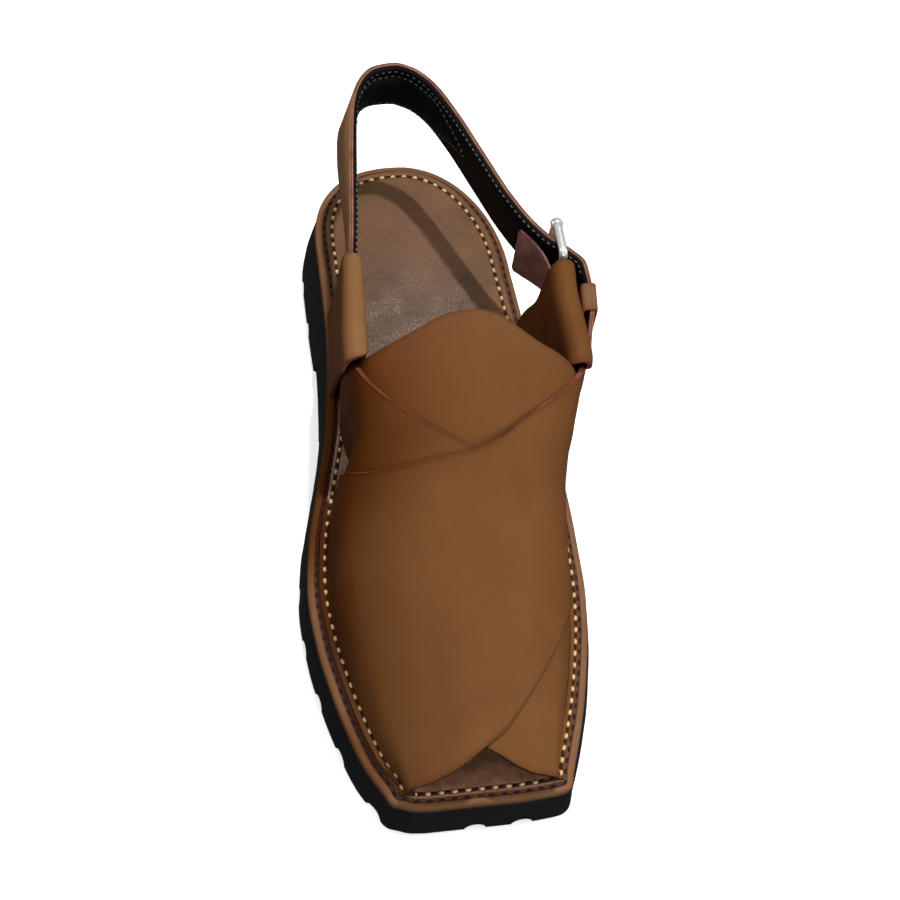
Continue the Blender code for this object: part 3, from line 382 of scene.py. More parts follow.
def loop_in(distance):
    """The sole's outline set in by a distance (out, where it is negative), its crossed corners closed up."""
    distance = np.broadcast_to(np.asarray(distance, float), (len(LOOP),))
    moved = LOOP - LOOP_OUT * distance[:, None]
    gap = np.linalg.norm(moved[:, None] - LOOP[None], axis=-1).min(axis=1)
    good = np.flatnonzero((distance <= 0) | (gap > distance - 0.04))
    index = np.arange(len(LOOP))
    return np.stack([np.interp(index, good, moved[good, k], period=len(LOOP)) for k in (0, 1)], -1)


def by_side(read, toe):
    """A value round the outline: read(side, s) along the sides, toe along the front."""
    out = np.full(len(LOOP), toe)
    out[0] = 0.5 * (read("medial", 0) + read("lateral", 0))
    blend = smooth(272, 283, STATIONS)
    for side, places in (("medial", SIDE_M), ("lateral", SIDE_L)):
        out[places] = read(side, STATIONS) * (1 - blend) + toe * blend
    return out


DARK_ROW = by_side(lambda side, s: ROWS(side + "_dark", s), 2.6)
PALE_ROW = by_side(lambda side, s: ROWS(side + "_pale", s), 4.9)
INSOLE_EDGE = by_side(lambda side, s: INSOLE_SIDES[side], 3.5)


def slab(name, levels, skins, marks, **more):
    """A layer of the sole: loops at each level (distance in, height), with ladders across its ends.

    The marks pick a skin for each band between levels, then for the lower and the upper face.
    """
    loops = [loop_in(distance) for distance, _ in levels]
    verts = [flat_world(loop, height(loop[:, 0])) for loop, (_, height) in zip(loops, levels)]
    ring = len(LOOP)
    faces = grid_faces(len(levels), ring, wrap=True).tolist()
    skin = [mark for mark in marks[:-2] for _ in range(ring)]
    reach = [np.full(ring, np.mean(distance)) for distance, _ in levels]
    share = np.linspace(0, 1, RUNG + 2)[1:-1]
    for level, mark in ((0, marks[-2]), (len(levels) - 1, marks[-1])):
        distance, height = levels[level]
        a, b = loops[level][SIDE_M[:-1]], loops[level][SIDE_L[:-1]]
        inner = a[:, None] + (b - a)[:, None] * share[:, None]
        start, base = sum(map(len, verts)), level * ring
        verts.append(flat_world(inner, height(inner[..., 0])).reshape(-1, 3))
        width = np.linalg.norm(b - a, axis=-1)[:, None] * np.minimum(share, 1 - share)
        reach.append((width + np.mean(distance)).ravel())
        middle = np.vstack((start + np.arange((COUNT - 1) * RUNG).reshape(COUNT - 1, RUNG), base + FRONT))
        rungs = np.column_stack((base + SIDE_M, middle, base + SIDE_L))
        faces += [(base, *ends) for ends in zip(rungs[0, :-1], rungs[0, 1:])]
        faces += rungs.ravel()[grid_faces(COUNT, RUNG + 2)].tolist()
        skin += [mark] * (len(faces) - len(skin))
    verts = np.concatenate(verts)
    s, n = CENTRE_S - verts[:, 1] / MM, CENTRE_N + verts[:, 0] / MM
    along = smooth(82, 115, s) * smooth(205, 172, s) + 0.5 * smooth(238, 256, s) * smooth(280, 268, s)
    values = {"edge": np.concatenate(reach), "shade": 0.9 * smooth(-18, -36, n) * along}
    return piece(name, verts, faces, skins, skin, values, weld=0.02, **more)


# ---- the arch of the upper

def inset(side, s, distance):
    """Across of a line set in from the midsole's edge, square to it."""
    s = np.minimum(s, TOE_CORNER)
    turn = (edge(side, s + 1) - edge(side, s - 1)) / 2
    return edge(side, s) - SIGN[side] * distance * np.hypot(1, turn)


def half_arch(side, s, u, spread):
    """Across and up of the upper's inner face from one side's sole (u 0) to the crown (u 0.5)."""
    out = SIGN[side]
    ground = insole_top(s) + GAP
    foot = inset(side, s, ARCH(side + "_foot", s) + FOOT_EASE * smooth(160, 175, s))
    fillet = FILLET + 0.95 * spread
    crown = pair(ARCH("crown_n", s), ARCH("crown_z", s))
    shoulder = pair(ARCH(side + "_n", s), ARCH(side + "_z", s))
    corner = pair(foot + out * spread, ground + spread)
    flange = corner + pair(out * fillet, 0)
    rim = pair(inset(side, s, INSOLE_INSET), ground + spread)
    u = u[..., None]
    flat = rim + (flange - rim) * (u / FLANGE_END)
    v = (u - FLANGE_END) / (WALL_START - FLANGE_END)
    turn = (1 - v) ** 2 * flange + 2 * v * (1 - v) * corner + v * v * (corner + pair(0, fillet))
    base = pair(foot, ground + fillet)
    lean = rounded((crown - base) * pair(0.4 + 0.6 * smooth(140, 175, s), 1))
    reach = np.linalg.norm(shoulder - base, axis=-1, keepdims=True)
    wall = hermite(base, shoulder, np.array((0, 0.6)) * reach, lean * reach,
                   (u - WALL_START) / (SHOULDER - WALL_START))
    span = np.linalg.norm(crown - shoulder, axis=-1, keepdims=True)
    roof = hermite(shoulder, crown, lean * span, np.array((-out, 0)) * span,
                   (u - SHOULDER) / (CROWN - SHOULDER))
    return np.select((u <= FLANGE_END, u <= WALL_START, u <= SHOULDER), (flat, turn, wall), roof)


def arch(s, t, spread=0):
    """Across and up of the upper's inner face at share t of the way from the inner to the outer sole."""
    s, t = np.broadcast_arrays(np.asarray(s, float), np.asarray(t, float))
    return np.where((t <= CROWN)[..., None], half_arch("medial", s, t, spread),
                    half_arch("lateral", s, 1 - t, spread))


def arch_world(s, t, offset):
    """World points on the upper's inner face, moved out square to it by the offset."""
    place = lambda s, t, spread=0: world(s, *np.moveaxis(arch(s, t, spread), -1, 0))
    step = np.where(t > CROWN, -0.004, 0.004)
    spot = place(s, t)
    across = (place(s, t + step) - spot) * np.sign(step)[..., None]
    ahead = place(s + 1, t) - place(s - 1, t)
    lifted = spot + rounded(np.cross(ahead, across)) * offset[..., None] * MM
    foot = (np.minimum(t, 1 - t) <= WALL_START)[..., None]
    return np.where(foot, place(s, t, offset), lifted)


# ---- materials

class Nodes:
    """A short way to wire a Principled material from noise in object coordinates."""

    def __init__(self, name, **sockets):
        self.material = bpy.data.materials.new(name)
        self.material.use_nodes = True
        self.tree = self.material.node_tree
        self.shader = self.tree.nodes["Principled BSDF"]
        for key, value in sockets.items():
            self.shader.inputs[key.replace("_", " ")].default_value = value
        self.place = self.add("TexCoord", {}, "Object")

    def add(self, kind, feeds, out, **traits):
        """One output of a new node, each of its inputs fed by another output or a value."""
        node = self.tree.nodes.new("ShaderNode" + kind)
        for key, value in traits.items():
            setattr(node, key, value)
        for key, value in feeds.items():
            if isinstance(value, bpy.types.NodeSocket):
                self.tree.links.new(value, node.inputs[key])
            else:
                node.inputs[key].default_value = value
        return node.outputs[out]

    def stretch(self, scale):
        return self.add("Mapping", {"Vector": self.place, "Scale": scale}, "Vector")

    def noise(self, size, detail=3, roughness=0.55, where=None, distortion=0):
        """Noise with features about `size` millimetres across."""
        return self.add("TexNoise", {"Vector": where or self.place, "Scale": 1000 / size, "Detail": detail,
                                     "Roughness": roughness, "Distortion": distortion}, "Fac")

    def cells(self, size):
        """Distance from the borders of cells about `size` millimetres across."""
        return self.add("TexVoronoi", {"Vector": self.place, "Scale": 1000 / size}, "Distance",
                        feature="DISTANCE_TO_EDGE")

    def attribute(self, name):
        return self.add("Attribute", {}, "Fac", attribute_name=name)

    def span(self, value, low, high, to_low=0, to_high=1):
        """A value from low to high spread over to_low to to_high."""
        return self.add("MapRange", {"Value": value, "From Min": low, "From Max": high,
                                     "To Min": to_low, "To Max": to_high}, "Result")

    def times(self, a, b):
        return self.add("Math", {0: a, 1: b}, "Value", operation="MULTIPLY")

    def plus(self, a, b):
        return self.add("Math", {0: a, 1: b}, "Value", operation="ADD")

    def mix(self, factor, a, b, kind="MIX"):
        """Two colours mixed; one given as three numbers is an eight-bit colour."""
        a, b = (srgb(*c) if isinstance(c, tuple) and len(c) == 3 else c for c in (a, b))
        return self.add("Mix", {"Factor": factor, 6: a, 7: b}, 2, data_type="RGBA", blend_type=kind)

    def blend(self, value, low, high, a, b, most=1):
        """From colour a where the value is low towards b where it is high."""
        return self.mix(self.span(value, low, high, 0, most), a, b)

    def bump(self, *layers):
        """Bump from (height, depth in millimetres) layers."""
        total, *others = [self.times(height, depth * MM) for height, depth in layers]
        for part in others:
            total = self.plus(total, part)
        normal = self.add("Bump", {"Distance": 1, "Height": total}, "Normal")
        self.tree.links.new(normal, self.shader.inputs["Normal"])

    def done(self, colour, roughness=None):
        self.tree.links.new(colour, self.shader.inputs["Base Color"])
        if roughness is not None:
            self.tree.links.new(roughness, self.shader.inputs["Roughness"])
        return self.material


def srgb(*eight_bit):
    """Linear colour of an eight-bit one."""
    shares = [c / 255 for c in eight_bit]
    return (*(c / 12.92 if c <= 0.04045 else ((c + 0.055) / 1.055) ** 2.4 for c in shares), 1)


SHADE_TINT = (0.56, 0.34, 0.07, 1)


def smooth_leather(name, light, dark, rim_tone, grain=0.05, rough=(0.42, 0.56)):
    """Close-grained leather: slow change of tone, fine pores, darker burnished rims, a painted shade."""
    m = Nodes(name, Specular_IOR_Level=0.05)
    slow = m.noise(46, 2, 0.5, distortion=0.6)
    streak = m.noise(30, 3, 0.6, m.stretch((1, 0.22, 1)))
    colour = m.blend(m.plus(m.times(slow, 0.6), m.times(streak, 0.4)), 0.36, 0.64, dark, light)
    colour = m.blend(m.noise(1.6, 4, 0.65), 0.42, 0.74, colour, dark, 0.22)
    reach = m.plus(m.attribute("edge"), m.times(m.noise(5), 1.6))
    colour = m.mix(m.span(reach, 1, 3, 0.55, 0), colour, rim_tone)
    colour = m.blend(m.attribute("shade"), 0, 1, colour, m.mix(1, colour, SHADE_TINT, "MULTIPLY"))
    wrinkle = m.noise(3.2, 4, 0.6, distortion=0.8)
    m.bump((m.span(m.cells(0.75), 0, 0.22), grain * 0.6), (wrinkle, grain), (m.noise(12, 2), 0.1))
    return m.done(colour, m.span(m.noise(2.4, 4), 0.3, 0.7, *rough))


def cut_leather(name, light, dark):
    """Raw edge of leather: reddish, fibrous along the edge."""
    m = Nodes(name, Specular_IOR_Level=0.25)
    fibre = m.noise(0.55, 4, 0.7)
    colour = m.blend(m.noise(9), 0.35, 0.65, dark, light)
    colour = m.blend(fibre, 0.4, 0.7, colour, dark, 0.5)
    m.bump((fibre, 0.1))
    return m.done(colour, m.span(fibre, 0.3, 0.7, 0.62, 0.85))


def thread(name, light, dark):
    """Waxed thread, with a fine twist."""
    m = Nodes(name, Roughness=0.7, Specular_IOR_Level=0.2)
    m.bump((m.noise(0.28, 2, 0.5, m.stretch((1, 1.6, 1))), 0.08))
    return m.done(m.blend(m.noise(1.4), 0.3, 0.7, dark, light))


def insole_leather():
    """Mauve-brown where the foot rests, paler towards the rim, with painted light at the toe and in the inner
    window, and painted glints on its grain.

    Object coordinates are metres: y falls towards the toe, x is below nought on the inner side.
    """
    m = Nodes("insole_leather", Specular_IOR_Level=0.3)
    x, y = (m.add("SeparateXYZ", {"Vector": m.place}, axis) for axis in "XY")
    reach = m.plus(m.attribute("edge"), m.times(m.noise(16), 8))
    ahead = m.span(m.plus(y, m.times(m.noise(22), 0.02)), 0.112, 0.075, 0.15, 1)
    inner = m.times(m.span(reach, 13, 24), ahead)
    rest = m.blend(m.noise(24), 0.35, 0.65, (99, 74, 59), (124, 96, 78))
    rim = m.blend(m.noise(20), 0.35, 0.65, (110, 77, 48), (128, 90, 59))
    colour = m.blend(m.noise(1.1, 4, 0.7), 0.45, 0.75, m.mix(inner, rim, rest), (74, 54, 44), 0.3)
    # Painted glints: pale specks over the front of the insole stand in for light glinting off its grain.
    glint_area = m.times(inner, m.span(y, 0.095, 0.065))
    sparkle = m.times(m.span(m.noise(1, 3, 0.8), 0.5, 0.68), m.span(m.noise(12), 0.35, 0.6))
    colour = m.mix(m.times(m.times(glint_area, sparkle), 0.5), colour, (206, 188, 168))
    # Painted light: the insole is paler at the toe, where light falls into the opening ahead of the upper.
    toe = m.blend(m.noise(3), 0.35, 0.65, (126, 88, 62), (156, 112, 82))
    colour = m.blend(y, -0.116, -0.132, colour, toe)
    # Painted light: the insole under the inner side's window is paler, with speckled glints, where light
    # falls on it.
    window = m.times(m.span(x, -0.033, -0.036), m.span(y, 0.014, 0.01))
    window_light = m.blend(m.noise(1.2, 3, 0.8), 0.4, 0.65, (130, 102, 83), (186, 157, 131))
    colour = m.mix(m.times(window, m.span(y, -0.022, -0.017)), colour, window_light)
    m.bump((m.span(m.cells(0.9), 0, 0.2), 0.07), (m.noise(2, 4), 0.1), (m.noise(14, 2), 0.2))
    return m.done(colour, m.span(m.noise(1.8), 0.3, 0.7, 0.36, 0.55))


def rubber_skin():
    """Matt black rubber with a slight mould texture, greyer in patches of wear."""
    m = Nodes("black_rubber", Specular_IOR_Level=0.2)
    colour = m.blend(m.noise(8, 5, 0.7), 0.52, 0.8, (20, 20, 21), (40, 39, 39), 0.35)
    m.bump((m.noise(0.9, 4, 0.65), 0.1), (m.noise(7), 0.25))
    return m.done(colour, m.span(m.noise(3, 4), 0.3, 0.7, 0.5, 0.72))


def lining_skin():
    """Soft black lining leather, finely creased."""
    m = Nodes("black_lining", Specular_IOR_Level=0.1)
    colour = m.blend(m.noise(6, 4), 0.35, 0.7, (3, 3, 3), (8, 7, 7))
    m.bump((m.noise(1.3, 5, 0.65, distortion=1.2), 0.16), (m.span(m.cells(0.8), 0, 0.2), 0.05))
    return m.done(colour, m.span(m.noise(2), 0.3, 0.7, 0.42, 0.62))


def suede_skin():
    """Purple-brown suede with a raised nap."""
    m = Nodes("suede", Roughness=0.95, Specular_IOR_Level=0.1, Sheen_Weight=0.08, Sheen_Roughness=0.5)
    nap = m.noise(0.7, 5, 0.75)
    colour = m.blend(m.noise(7, 4, 0.6), 0.35, 0.65, (110, 66, 56), (144, 92, 80))
    m.bump((nap, 0.22), (m.noise(4), 0.3))
    return m.done(m.blend(nap, 0.4, 0.75, colour, (138, 90, 82), 0.4))


def metal_skin():
    """Bright plated wire with fine rubbing and a few dull spots."""
    m = Nodes("silver", Metallic=0.55)
    colour = m.blend(m.noise(2.2, 5, 0.7), 0.55, 0.75, (236, 235, 230), (186, 183, 174))
    m.bump((m.noise(0.9), 0.006), (m.noise(5, 2), 0.03))
    return m.done(colour, m.span(m.noise(1.5, 4), 0.3, 0.75, 0.26, 0.42))


BROWN = smooth_leather("brown_leather", (119, 78, 43), (106, 67, 35), (86, 50, 23))
BROWN_BACK = cut_leather("brown_leather_back", (104, 68, 44), (76, 46, 28))
RAW_EDGE = cut_leather("raw_edge", (150, 82, 58), (104, 52, 36))
# Strap leather paler than the upper: partly its own tone, partly painted light for light falling on its outer
# face.
STRAP_BROWN_AND_LIGHT = smooth_leather("strap_leather", (182, 136, 98), (160, 116, 78), (138, 94, 64))
# Painted light: a paler copy of the brown leather for the inner quarter, standing in for light falling on
# that side.
QUARTER_BROWN_LIT = smooth_leather("quarter_leather_lit", (142, 102, 67), (124, 86, 52), (106, 68, 42))
FOLD_BROWN = smooth_leather("fold_leather", (136, 98, 68), (116, 80, 53), (104, 68, 42))
STRAP_EDGE = cut_leather("strap_edge", (164, 116, 92), (126, 80, 62))
DARK_EDGE = cut_leather("dark_edge", (78, 44, 26), (48, 26, 16))
RIM_BROWN = smooth_leather("midsole_leather", (148, 107, 75), (125, 86, 57), (108, 72, 48), 0.07)
GROOVE_SKIN = smooth_leather("groove_leather", (112, 78, 62), (84, 54, 42), (92, 60, 46), 0.12, (0.6, 0.8))
INSOLE_SKIN = insole_leather()
RUBBER = rubber_skin()
LINING = lining_skin()
SUEDE = suede_skin()
SUEDE_EDGE = cut_leather("suede_edge", (150, 108, 104), (104, 64, 62))
SILVER = metal_skin()
CREAM = thread("cream_thread", (246, 214, 160), (222, 178, 122))
DARK_THREAD = thread("dark_thread", (68, 32, 22), (42, 19, 13))
GREY_THREAD = thread("grey_thread", (132, 132, 134), (92, 92, 94))
CUT_SKINS = [BROWN_BACK, RAW_EDGE, DARK_EDGE]


# ---- sole

CHANNEL_RADIUS, CHANNEL_LIFT, CHANNEL_IN = 4, 0.6, 16
CUT_RADIUS, CUT_LIFT, CUT_IN = 1.5, -0.4, 9
TREAD_PITCH = 22


def tread_bars():
    """Ends and radius of the rods that cut the channels in the sole's sides and toe and across the tread."""
    bars = []
    for s in (18, 40, 62, *range(122, 277, TREAD_PITCH)):
        for side, sign in SIGN.items():
            outer, z = edge(side, s), floor_at(s) + CHANNEL_LIFT
            bars.append(((s, outer + sign * 14, z), (s, outer - sign * CHANNEL_IN, z), CHANNEL_RADIUS))
    for n in (-2, 15):
        z = floor_at(LENGTH) + CHANNEL_LIFT
        bars.append(((LENGTH + 8, n, z), (LENGTH - CHANNEL_IN, n, z), CHANNEL_RADIUS))
    for s in (29, 51, *range(133, 266, TREAD_PITCH)):
        ends = (s, edge("medial", s) + CUT_IN, CUT_LIFT), (s, edge("lateral", s) - CUT_IN, CUT_LIFT)
        bars.append((*ends, CUT_RADIUS))
    return bars


def carve(made, bars):
    """Cuts rods with tapered ends out of a piece."""
    verts, faces = [], []
    cos, sin = circle(20)
    for a, b, radius in bars:
        a, b = world(*a), world(*b)
        along = rounded(b - a)
        beside = rounded(np.cross(along, UP))
        ring = (beside * cos + np.cross(beside, along) * sin) * radius * MM
        faces += grid_faces(4, 20, len(verts), wrap=True).tolist() + caps(4, 20, len(verts))
        for centre, size in ((a, 0.75), (a + along * 1.2 * MM, 1), (b - along * 2.5 * MM, 1), (b, 0.6)):
            verts.extend(centre + ring * size)
    cutter = piece("tread_cutter", verts, faces, [RUBBER])
    cut = made.modifiers.new("Tread", "BOOLEAN")
    cut.operation = "DIFFERENCE"
    cut.solver = "EXACT"
    cut.object = cutter
    cut.use_self = True
    mesh = bpy.data.meshes.new_from_object(made.evaluated_get(bpy.context.evaluated_depsgraph_get()))
    made.modifiers.clear()
    old, made.data = made.data, mesh
    mesh.name = made.name
    bpy.data.meshes.remove(old)
    bpy.data.objects.remove(cutter, do_unlink=True)


def above(height):
    """Height over the midsole's top, as a function of s."""
    return lambda s: top(s) + height


def build_outsole():
    """Rubber with round channels in its sides and toe, and shallow cuts across the tread."""
    flare = PROFILE("flare", LOOP[:, 0])
    over = lambda height, share=0: (
        lambda s: floor_at(s) + height + (top(s) - MIDSOLE_THICK - floor_at(s)) * share)
    levels = [
        (-(flare - 1.2), over(0)), (-(flare - 0.5), over(0.3)), (-(flare - 0.1), over(0.9)),
        (-flare, over(1.8)), (-0.82 * flare, over(0, 0.35)), (-0.55 * flare, over(0, 0.58)),
        (-0.3 * flare, over(0, 0.78)), (-0.25, above(-MIDSOLE_THICK - 1.6)),
        (-0.2, above(-MIDSOLE_THICK - 0.5)), (0.25, above(-MIDSOLE_THICK + 0.02))]
    made = slab("outsole_rubber", levels, [RUBBER], [0] * 11, replaces="outsole", slot="rubber")
    carve(made, tread_bars())
    round_edges(made, 0.45, 38)


def build_midsole():
    """Leather board: burnished rim, a stitched channel in its margin, flat under the insole."""
    g = DARK_ROW
    levels = [(distance, above(height)) for distance, height in (
        (0.35, -MIDSOLE_THICK), (0, -3.6), (-0.15, -2.6), (-0.18, -1.7), (-0.05, -0.9), (0.22, -0.35),
        (0.62, -0.08), (1, 0), (g - 0.75, -0.02), (g - 0.5, -0.14), (g - 0.25, -0.3), (g + 0.25, -0.3),
        (g + 0.5, -0.18), (g + 0.8, -0.08), (np.maximum(g + 1.3, INSOLE_EDGE + 0.1), -0.08))]
    slab("midsole_board", levels, [RIM_BROWN, GROOVE_SKIN], [0] * 8 + [1] * 6 + [0, 0],
         replaces="midsole", slot="midsole_leather")


def build_insole():
    """Leather sock with a cut edge and a shallow stitched channel."""
    e, g = INSOLE_EDGE, PALE_ROW
    sunk = lambda depth: (lambda s: insole_top(s) - depth)
    levels = [
        (e + 0.25, above(-0.08)), (e, above(0.15)), (e, sunk(0.45)), (e + 0.2, sunk(0.15)),
        (e + 0.5, sunk(0)), (np.maximum(g - 0.75, e + 0.6), sunk(0)), (g - 0.4, sunk(0.22)),
        (g + 0.4, sunk(0.22)), (g + 0.8, sunk(0)), (g + 2.5, sunk(0)), (g + 5, sunk(0))]
    slab("insole_sock", levels, [INSOLE_SKIN, GROOVE_SKIN, DARK_EDGE], [2, 0, 0, 0, 0, 1, 1, 1, 0, 0, 2, 0],
         replaces="insole", slot="insole_leather")


# ---- upper

GIRTH = 185
# Soft troughs (below nought) and ridges of the panels: from (s, t) to (s, t), depth, half width
CREASES = [
    (206, 0.6, 212, 0.3, -0.22, 7), (190, 0.33, 204, 0.66, 0.16, 9), (226, 0.7, 238, 0.42, -0.15, 8),
    (182, 0.72, 168, 0.84, -0.3, 5), (178, 0.26, 192, 0.16, -0.28, 6), (236, 0.26, 252, 0.16, -0.2, 6),
    (250, 0.62, 262, 0.5, 0.15, 6), (160, 0.8, 150, 0.88, 0.2, 5), (200, 0.86, 226, 0.82, -0.2, 5),
    (214, 0.48, 232, 0.55, 0.14, 9),
]


def creased(s, t):
    """Height of the soft folds over the forefoot, from places on the panels as complex numbers."""
    spot = s + 1j * GIRTH * t
    out = 0.1 * np.sin(s / 11 + 0.9) * np.sin(GIRTH * t / 14)
    for s0, t0, s1, t1, depth, wide in CREASES:
        start, way = s0 + 1j * GIRTH * t0, s1 - s0 + 1j * GIRTH * (t1 - t0)
        along = np.clip(((spot - start) / way).real, 0, 1)
        out += depth * np.exp(-(np.abs(spot - start - along * way) / wide) ** 2)
    return out


def panel_shares(table, count):
    """Shares over the arch for a panel, closer together at its feet."""
    low, high = table.key[0], table.key[-1]
    foot = np.concatenate((np.linspace(0, FLANGE_END, 4), np.linspace(FLANGE_END, WALL_START, 7)[1:]))
    run = np.concatenate((foot, np.linspace(0.118, 0.882, count), (1 - foot)[::-1]))
    inner = run[(run > low + 0.003) & (run < high - 0.003)]
    return np.concatenate(([low], inner, [high]))


def panel(name, table, rows, count, rise, node):
    """A leather panel laid over the arch, standing off its inner face by rise(s, t)."""
    t = panel_shares(table, count)
    rear, front = table("rear", t), table("front", t)
    s = rear[:, None] + (front - rear)[:, None] * np.linspace(0, 1, rows)
    t = np.repeat(t[:, None], rows, axis=1)
    lift = rise(s, t) + creased(s, t) * smooth(0.1, 0.18, np.minimum(t, 1 - t))
    cut = s + SKIVE * (0.3 + 3 * np.abs(t - CROWN)) * (1 - smooth(0, 6, s - rear[:, None]))
    back = 0.11 * smooth(200, 165, s)
    shade = smooth(0.41 + back, 0.12 + back, t) * smooth(268, 210, s)
    shell(name, arch_world(s, t, lift), arch_world(cut, t, lift + LEATHER), [BROWN, *CUT_SKINS],
          (2, 3, 3, 3), shade=shade, replaces=node, slot="brown_leather")


def lap(s, t):
    """How far the top panel stands off to clear the one under it."""
    onset = UNDER_PANEL("rear", t)
    behind = np.where(t < CROWN, 1, smooth(onset - LAP_RUN, onset - 2, s))
    return LAP_RISE * behind * smooth(WALL_START, 0.13, t)


def build_upper():
    """Two panels that cross over the forefoot, and the tongue under both."""
    panel("upper_under_panel", UNDER_PANEL, 90, 120, lambda s, t: 0, "upper")
    panel("upper_top_panel", TOP_PANEL, 100, 120, lap, "upper")
    panel("tongue_leather", TONGUE, 50, 90, lambda s, t: -0.2 - LEATHER, "tongue")


def crest(side, s):
    return ARCH(side + "_n", s) + SIGN[side] * 0.5 * LEATHER


def wall(side, s, z):
    """How far across the arch's wall stands at height z."""
    across, up = half_arch(side, s, np.linspace(WALL_START, SHOULDER, 15), 0).T
    return float(np.interp(z, up, across))


def quarter_spot(side, s, p):
    """Across and up of the folded leather's middle at share p of its path."""
    sign, (radius, inner_spread, outer_spread, _) = SIGN[side], QUARTERS[side]
    centre = float(crest(side, s))
    if side == "medial":
        radius *= 1 + 0.32 * float(smooth(88, 132, s))
        brow = CREST_Z - 1.6 * float(smooth(122, 137, s))
    else:
        radius, centre = radius + 0.9, centre - 0.6 - 0.8 * float(smooth(122, 142, s))
        brow = CREST_Z - 1.8 * float(smooth(130, 145, s))
    if CREST_START <= p <= CREST_END:
        turn = math.pi * (p - CREST_START) / (CREST_END - CREST_START)
        return centre - sign * radius * math.cos(turn), brow + radius * math.sin(turn)
    if p < CREST_START:
        way, spread, u = -sign, inner_spread, (CREST_START - p) / CREST_START
        foot = inset(side, s, QUARTER_FOOT_IN), insole_top(s) + QUARTER_REST
    else:
        way, spread, u = sign, outer_spread, (p - CREST_END) / (1 - CREST_END)
        foot = inset(side, s, QUARTER_FOOT_OUT), top(s) + QUARTER_REST
    path = ((centre + way * radius, brow), (centre + way * (radius + spread), KNEE_Z), foot)
    across, up = read_rows(u, (0, KNEE_SHARE, 1), path)
    if p > CREST_END:
        bend = 0.5 * u * (1 - u) * (1 - 2 * abs(u - KNEE_SHARE))
        cover = wall(side, s, up) + sign * (1.5 * LEATHER + GAP)
        across = sign * max(sign * across - bend, sign * cover)
    return across, up


def build_quarter(side):
    """Leather folded outwards over the strap, softly bowed, its cut edges reddish."""
    edges = QUARTERS[side][-1]
    shares = np.concatenate((np.linspace(0, CREST_START, 22), np.linspace(CREST_START, CREST_END, 15)[1:],
                             np.linspace(CREST_END, 1, 26)[1:]))
    runs = np.linspace(edges("rear", shares), edges("front", shares), 34, axis=1)
    spots = np.array([[quarter_spot(side, s, p) for s in run] for run, p in zip(runs, shares)])
    grid = relax(world(runs, spots[..., 0], spots[..., 1]), 6)
    normal = rounded(np.cross(np.gradient(grid, axis=0), np.gradient(grid, axis=1)))
    if normal[-8, 16, 0] * SIGN[side] < 0:
        normal = -normal
    half = 0.5 * LEATHER * MM
    # Painted shade: the inner quarter darkens from its crest down over its outer leaf, the outer quarter over
    # its inner leaf.
    if side == "medial":
        skin, inside = QUARTER_BROWN_LIT, 0.8 * smooth(0.51, 0.61, shares)
    else:
        skin, inside = BROWN, 0.9 * smooth(0.5, 0.38, shares)
    shell("quarter_" + side + "_leather", grid - normal * half, grid + normal * half, [skin, *CUT_SKINS],
          (2, 2, 3, 3), replaces="quarter_" + side, slot="brown_leather",
          shade=np.broadcast_to(inside[:, None], runs.shape))


# ---- strap

def outside(line):
    """Unit directions square to a line in s and n, towards its outer side."""
    along = rounded(np.gradient(line, axis=0))
    return pair(-along[:, 1], along[:, 0])


def strap_run(first, last, count):
    """Centres, outward and upward directions, widths and table steps along the heel strap."""
    k = np.linspace(first, last, count)
    fine = np.linspace(0, STRAP.key[-1], 700)
    line = relax(pair(STRAP("s", fine), STRAP("n", fine)), 40)
    face, out = read_rows(k, fine, line), rounded(read_rows(k, fine, outside(line)))
    height, lean, width = STRAP("top", k), STRAP("lean", k), STRAP("width", k)
    rise = np.sqrt(width ** 2 - lean ** 2)
    crown = face - out * 0.5 * STRAP_THICK
    centre = flat_world(crown + out * 0.5 * lean[:, None], height - 0.5 * rise)
    up = rounded(flat_world(crown, height) - centre)
    outward = flat_way(out)
    outward = rounded(outward - up * (outward * up).sum(-1, keepdims=True))
    return centre, outward, up, width, k


def mirrored(half):
    """A closed section from the half above its middle."""
    return half + [(across, -up) for across, up in half[::-1]]


def build_strap():
    """Leather band with rounded corners and a fine line along its edges, and its thinner black lining."""
    centre, out, up, width, _ = strap_run(0, STRAP.key[-1], 420)
    r, line, thick = 0.35, 0.85, STRAP_LEATHER
    section = [mirrored([(0, h - r), (r, h), (line - 0.12, h), (line, h - 0.3), (line + 0.12, h),
                         (thick - r, h), (thick, h - r)]) for h in 0.5 * width]
    skins = [STRAP_BROWN_AND_LIGHT, BROWN_BACK, STRAP_EDGE, DARK_EDGE]
    sweep("strap_leather", centre, out, up, section, skins, [2, 2, 3, 3, 2, 2, 0, 2, 2, 3, 3, 2, 2, 1],
          replaces="heel_strap", slot="brown_leather")
    centre, out, up, width, _ = strap_run(0, LINING_END, 390)
    section = [mirrored([(-1.6, h - 1.5), (-1.45, h - 0.9), (-1, h - 0.5), (-0.4, h - 0.35),
                         (0.02, h - 0.3)]) for h in 0.5 * width]
    sweep("strap_lining", centre, out, up, section, [LINING], replaces="heel_strap", slot="black_lining")


def pad_half(k):
    """Half height of the padded part at step k of the strap, and how full it is there."""
    point = np.clip(np.minimum((k - 5.3) / 0.9, (PAD_TIP - k) / 1.15), 0, 1)
    return np.maximum(7.4 * point ** 0.85, 0.3), point


def pad_drop(k):
    """How far below the strap's middle the pad lies."""
    return PAD_DROP * smooth(12.6, 10.6, k)


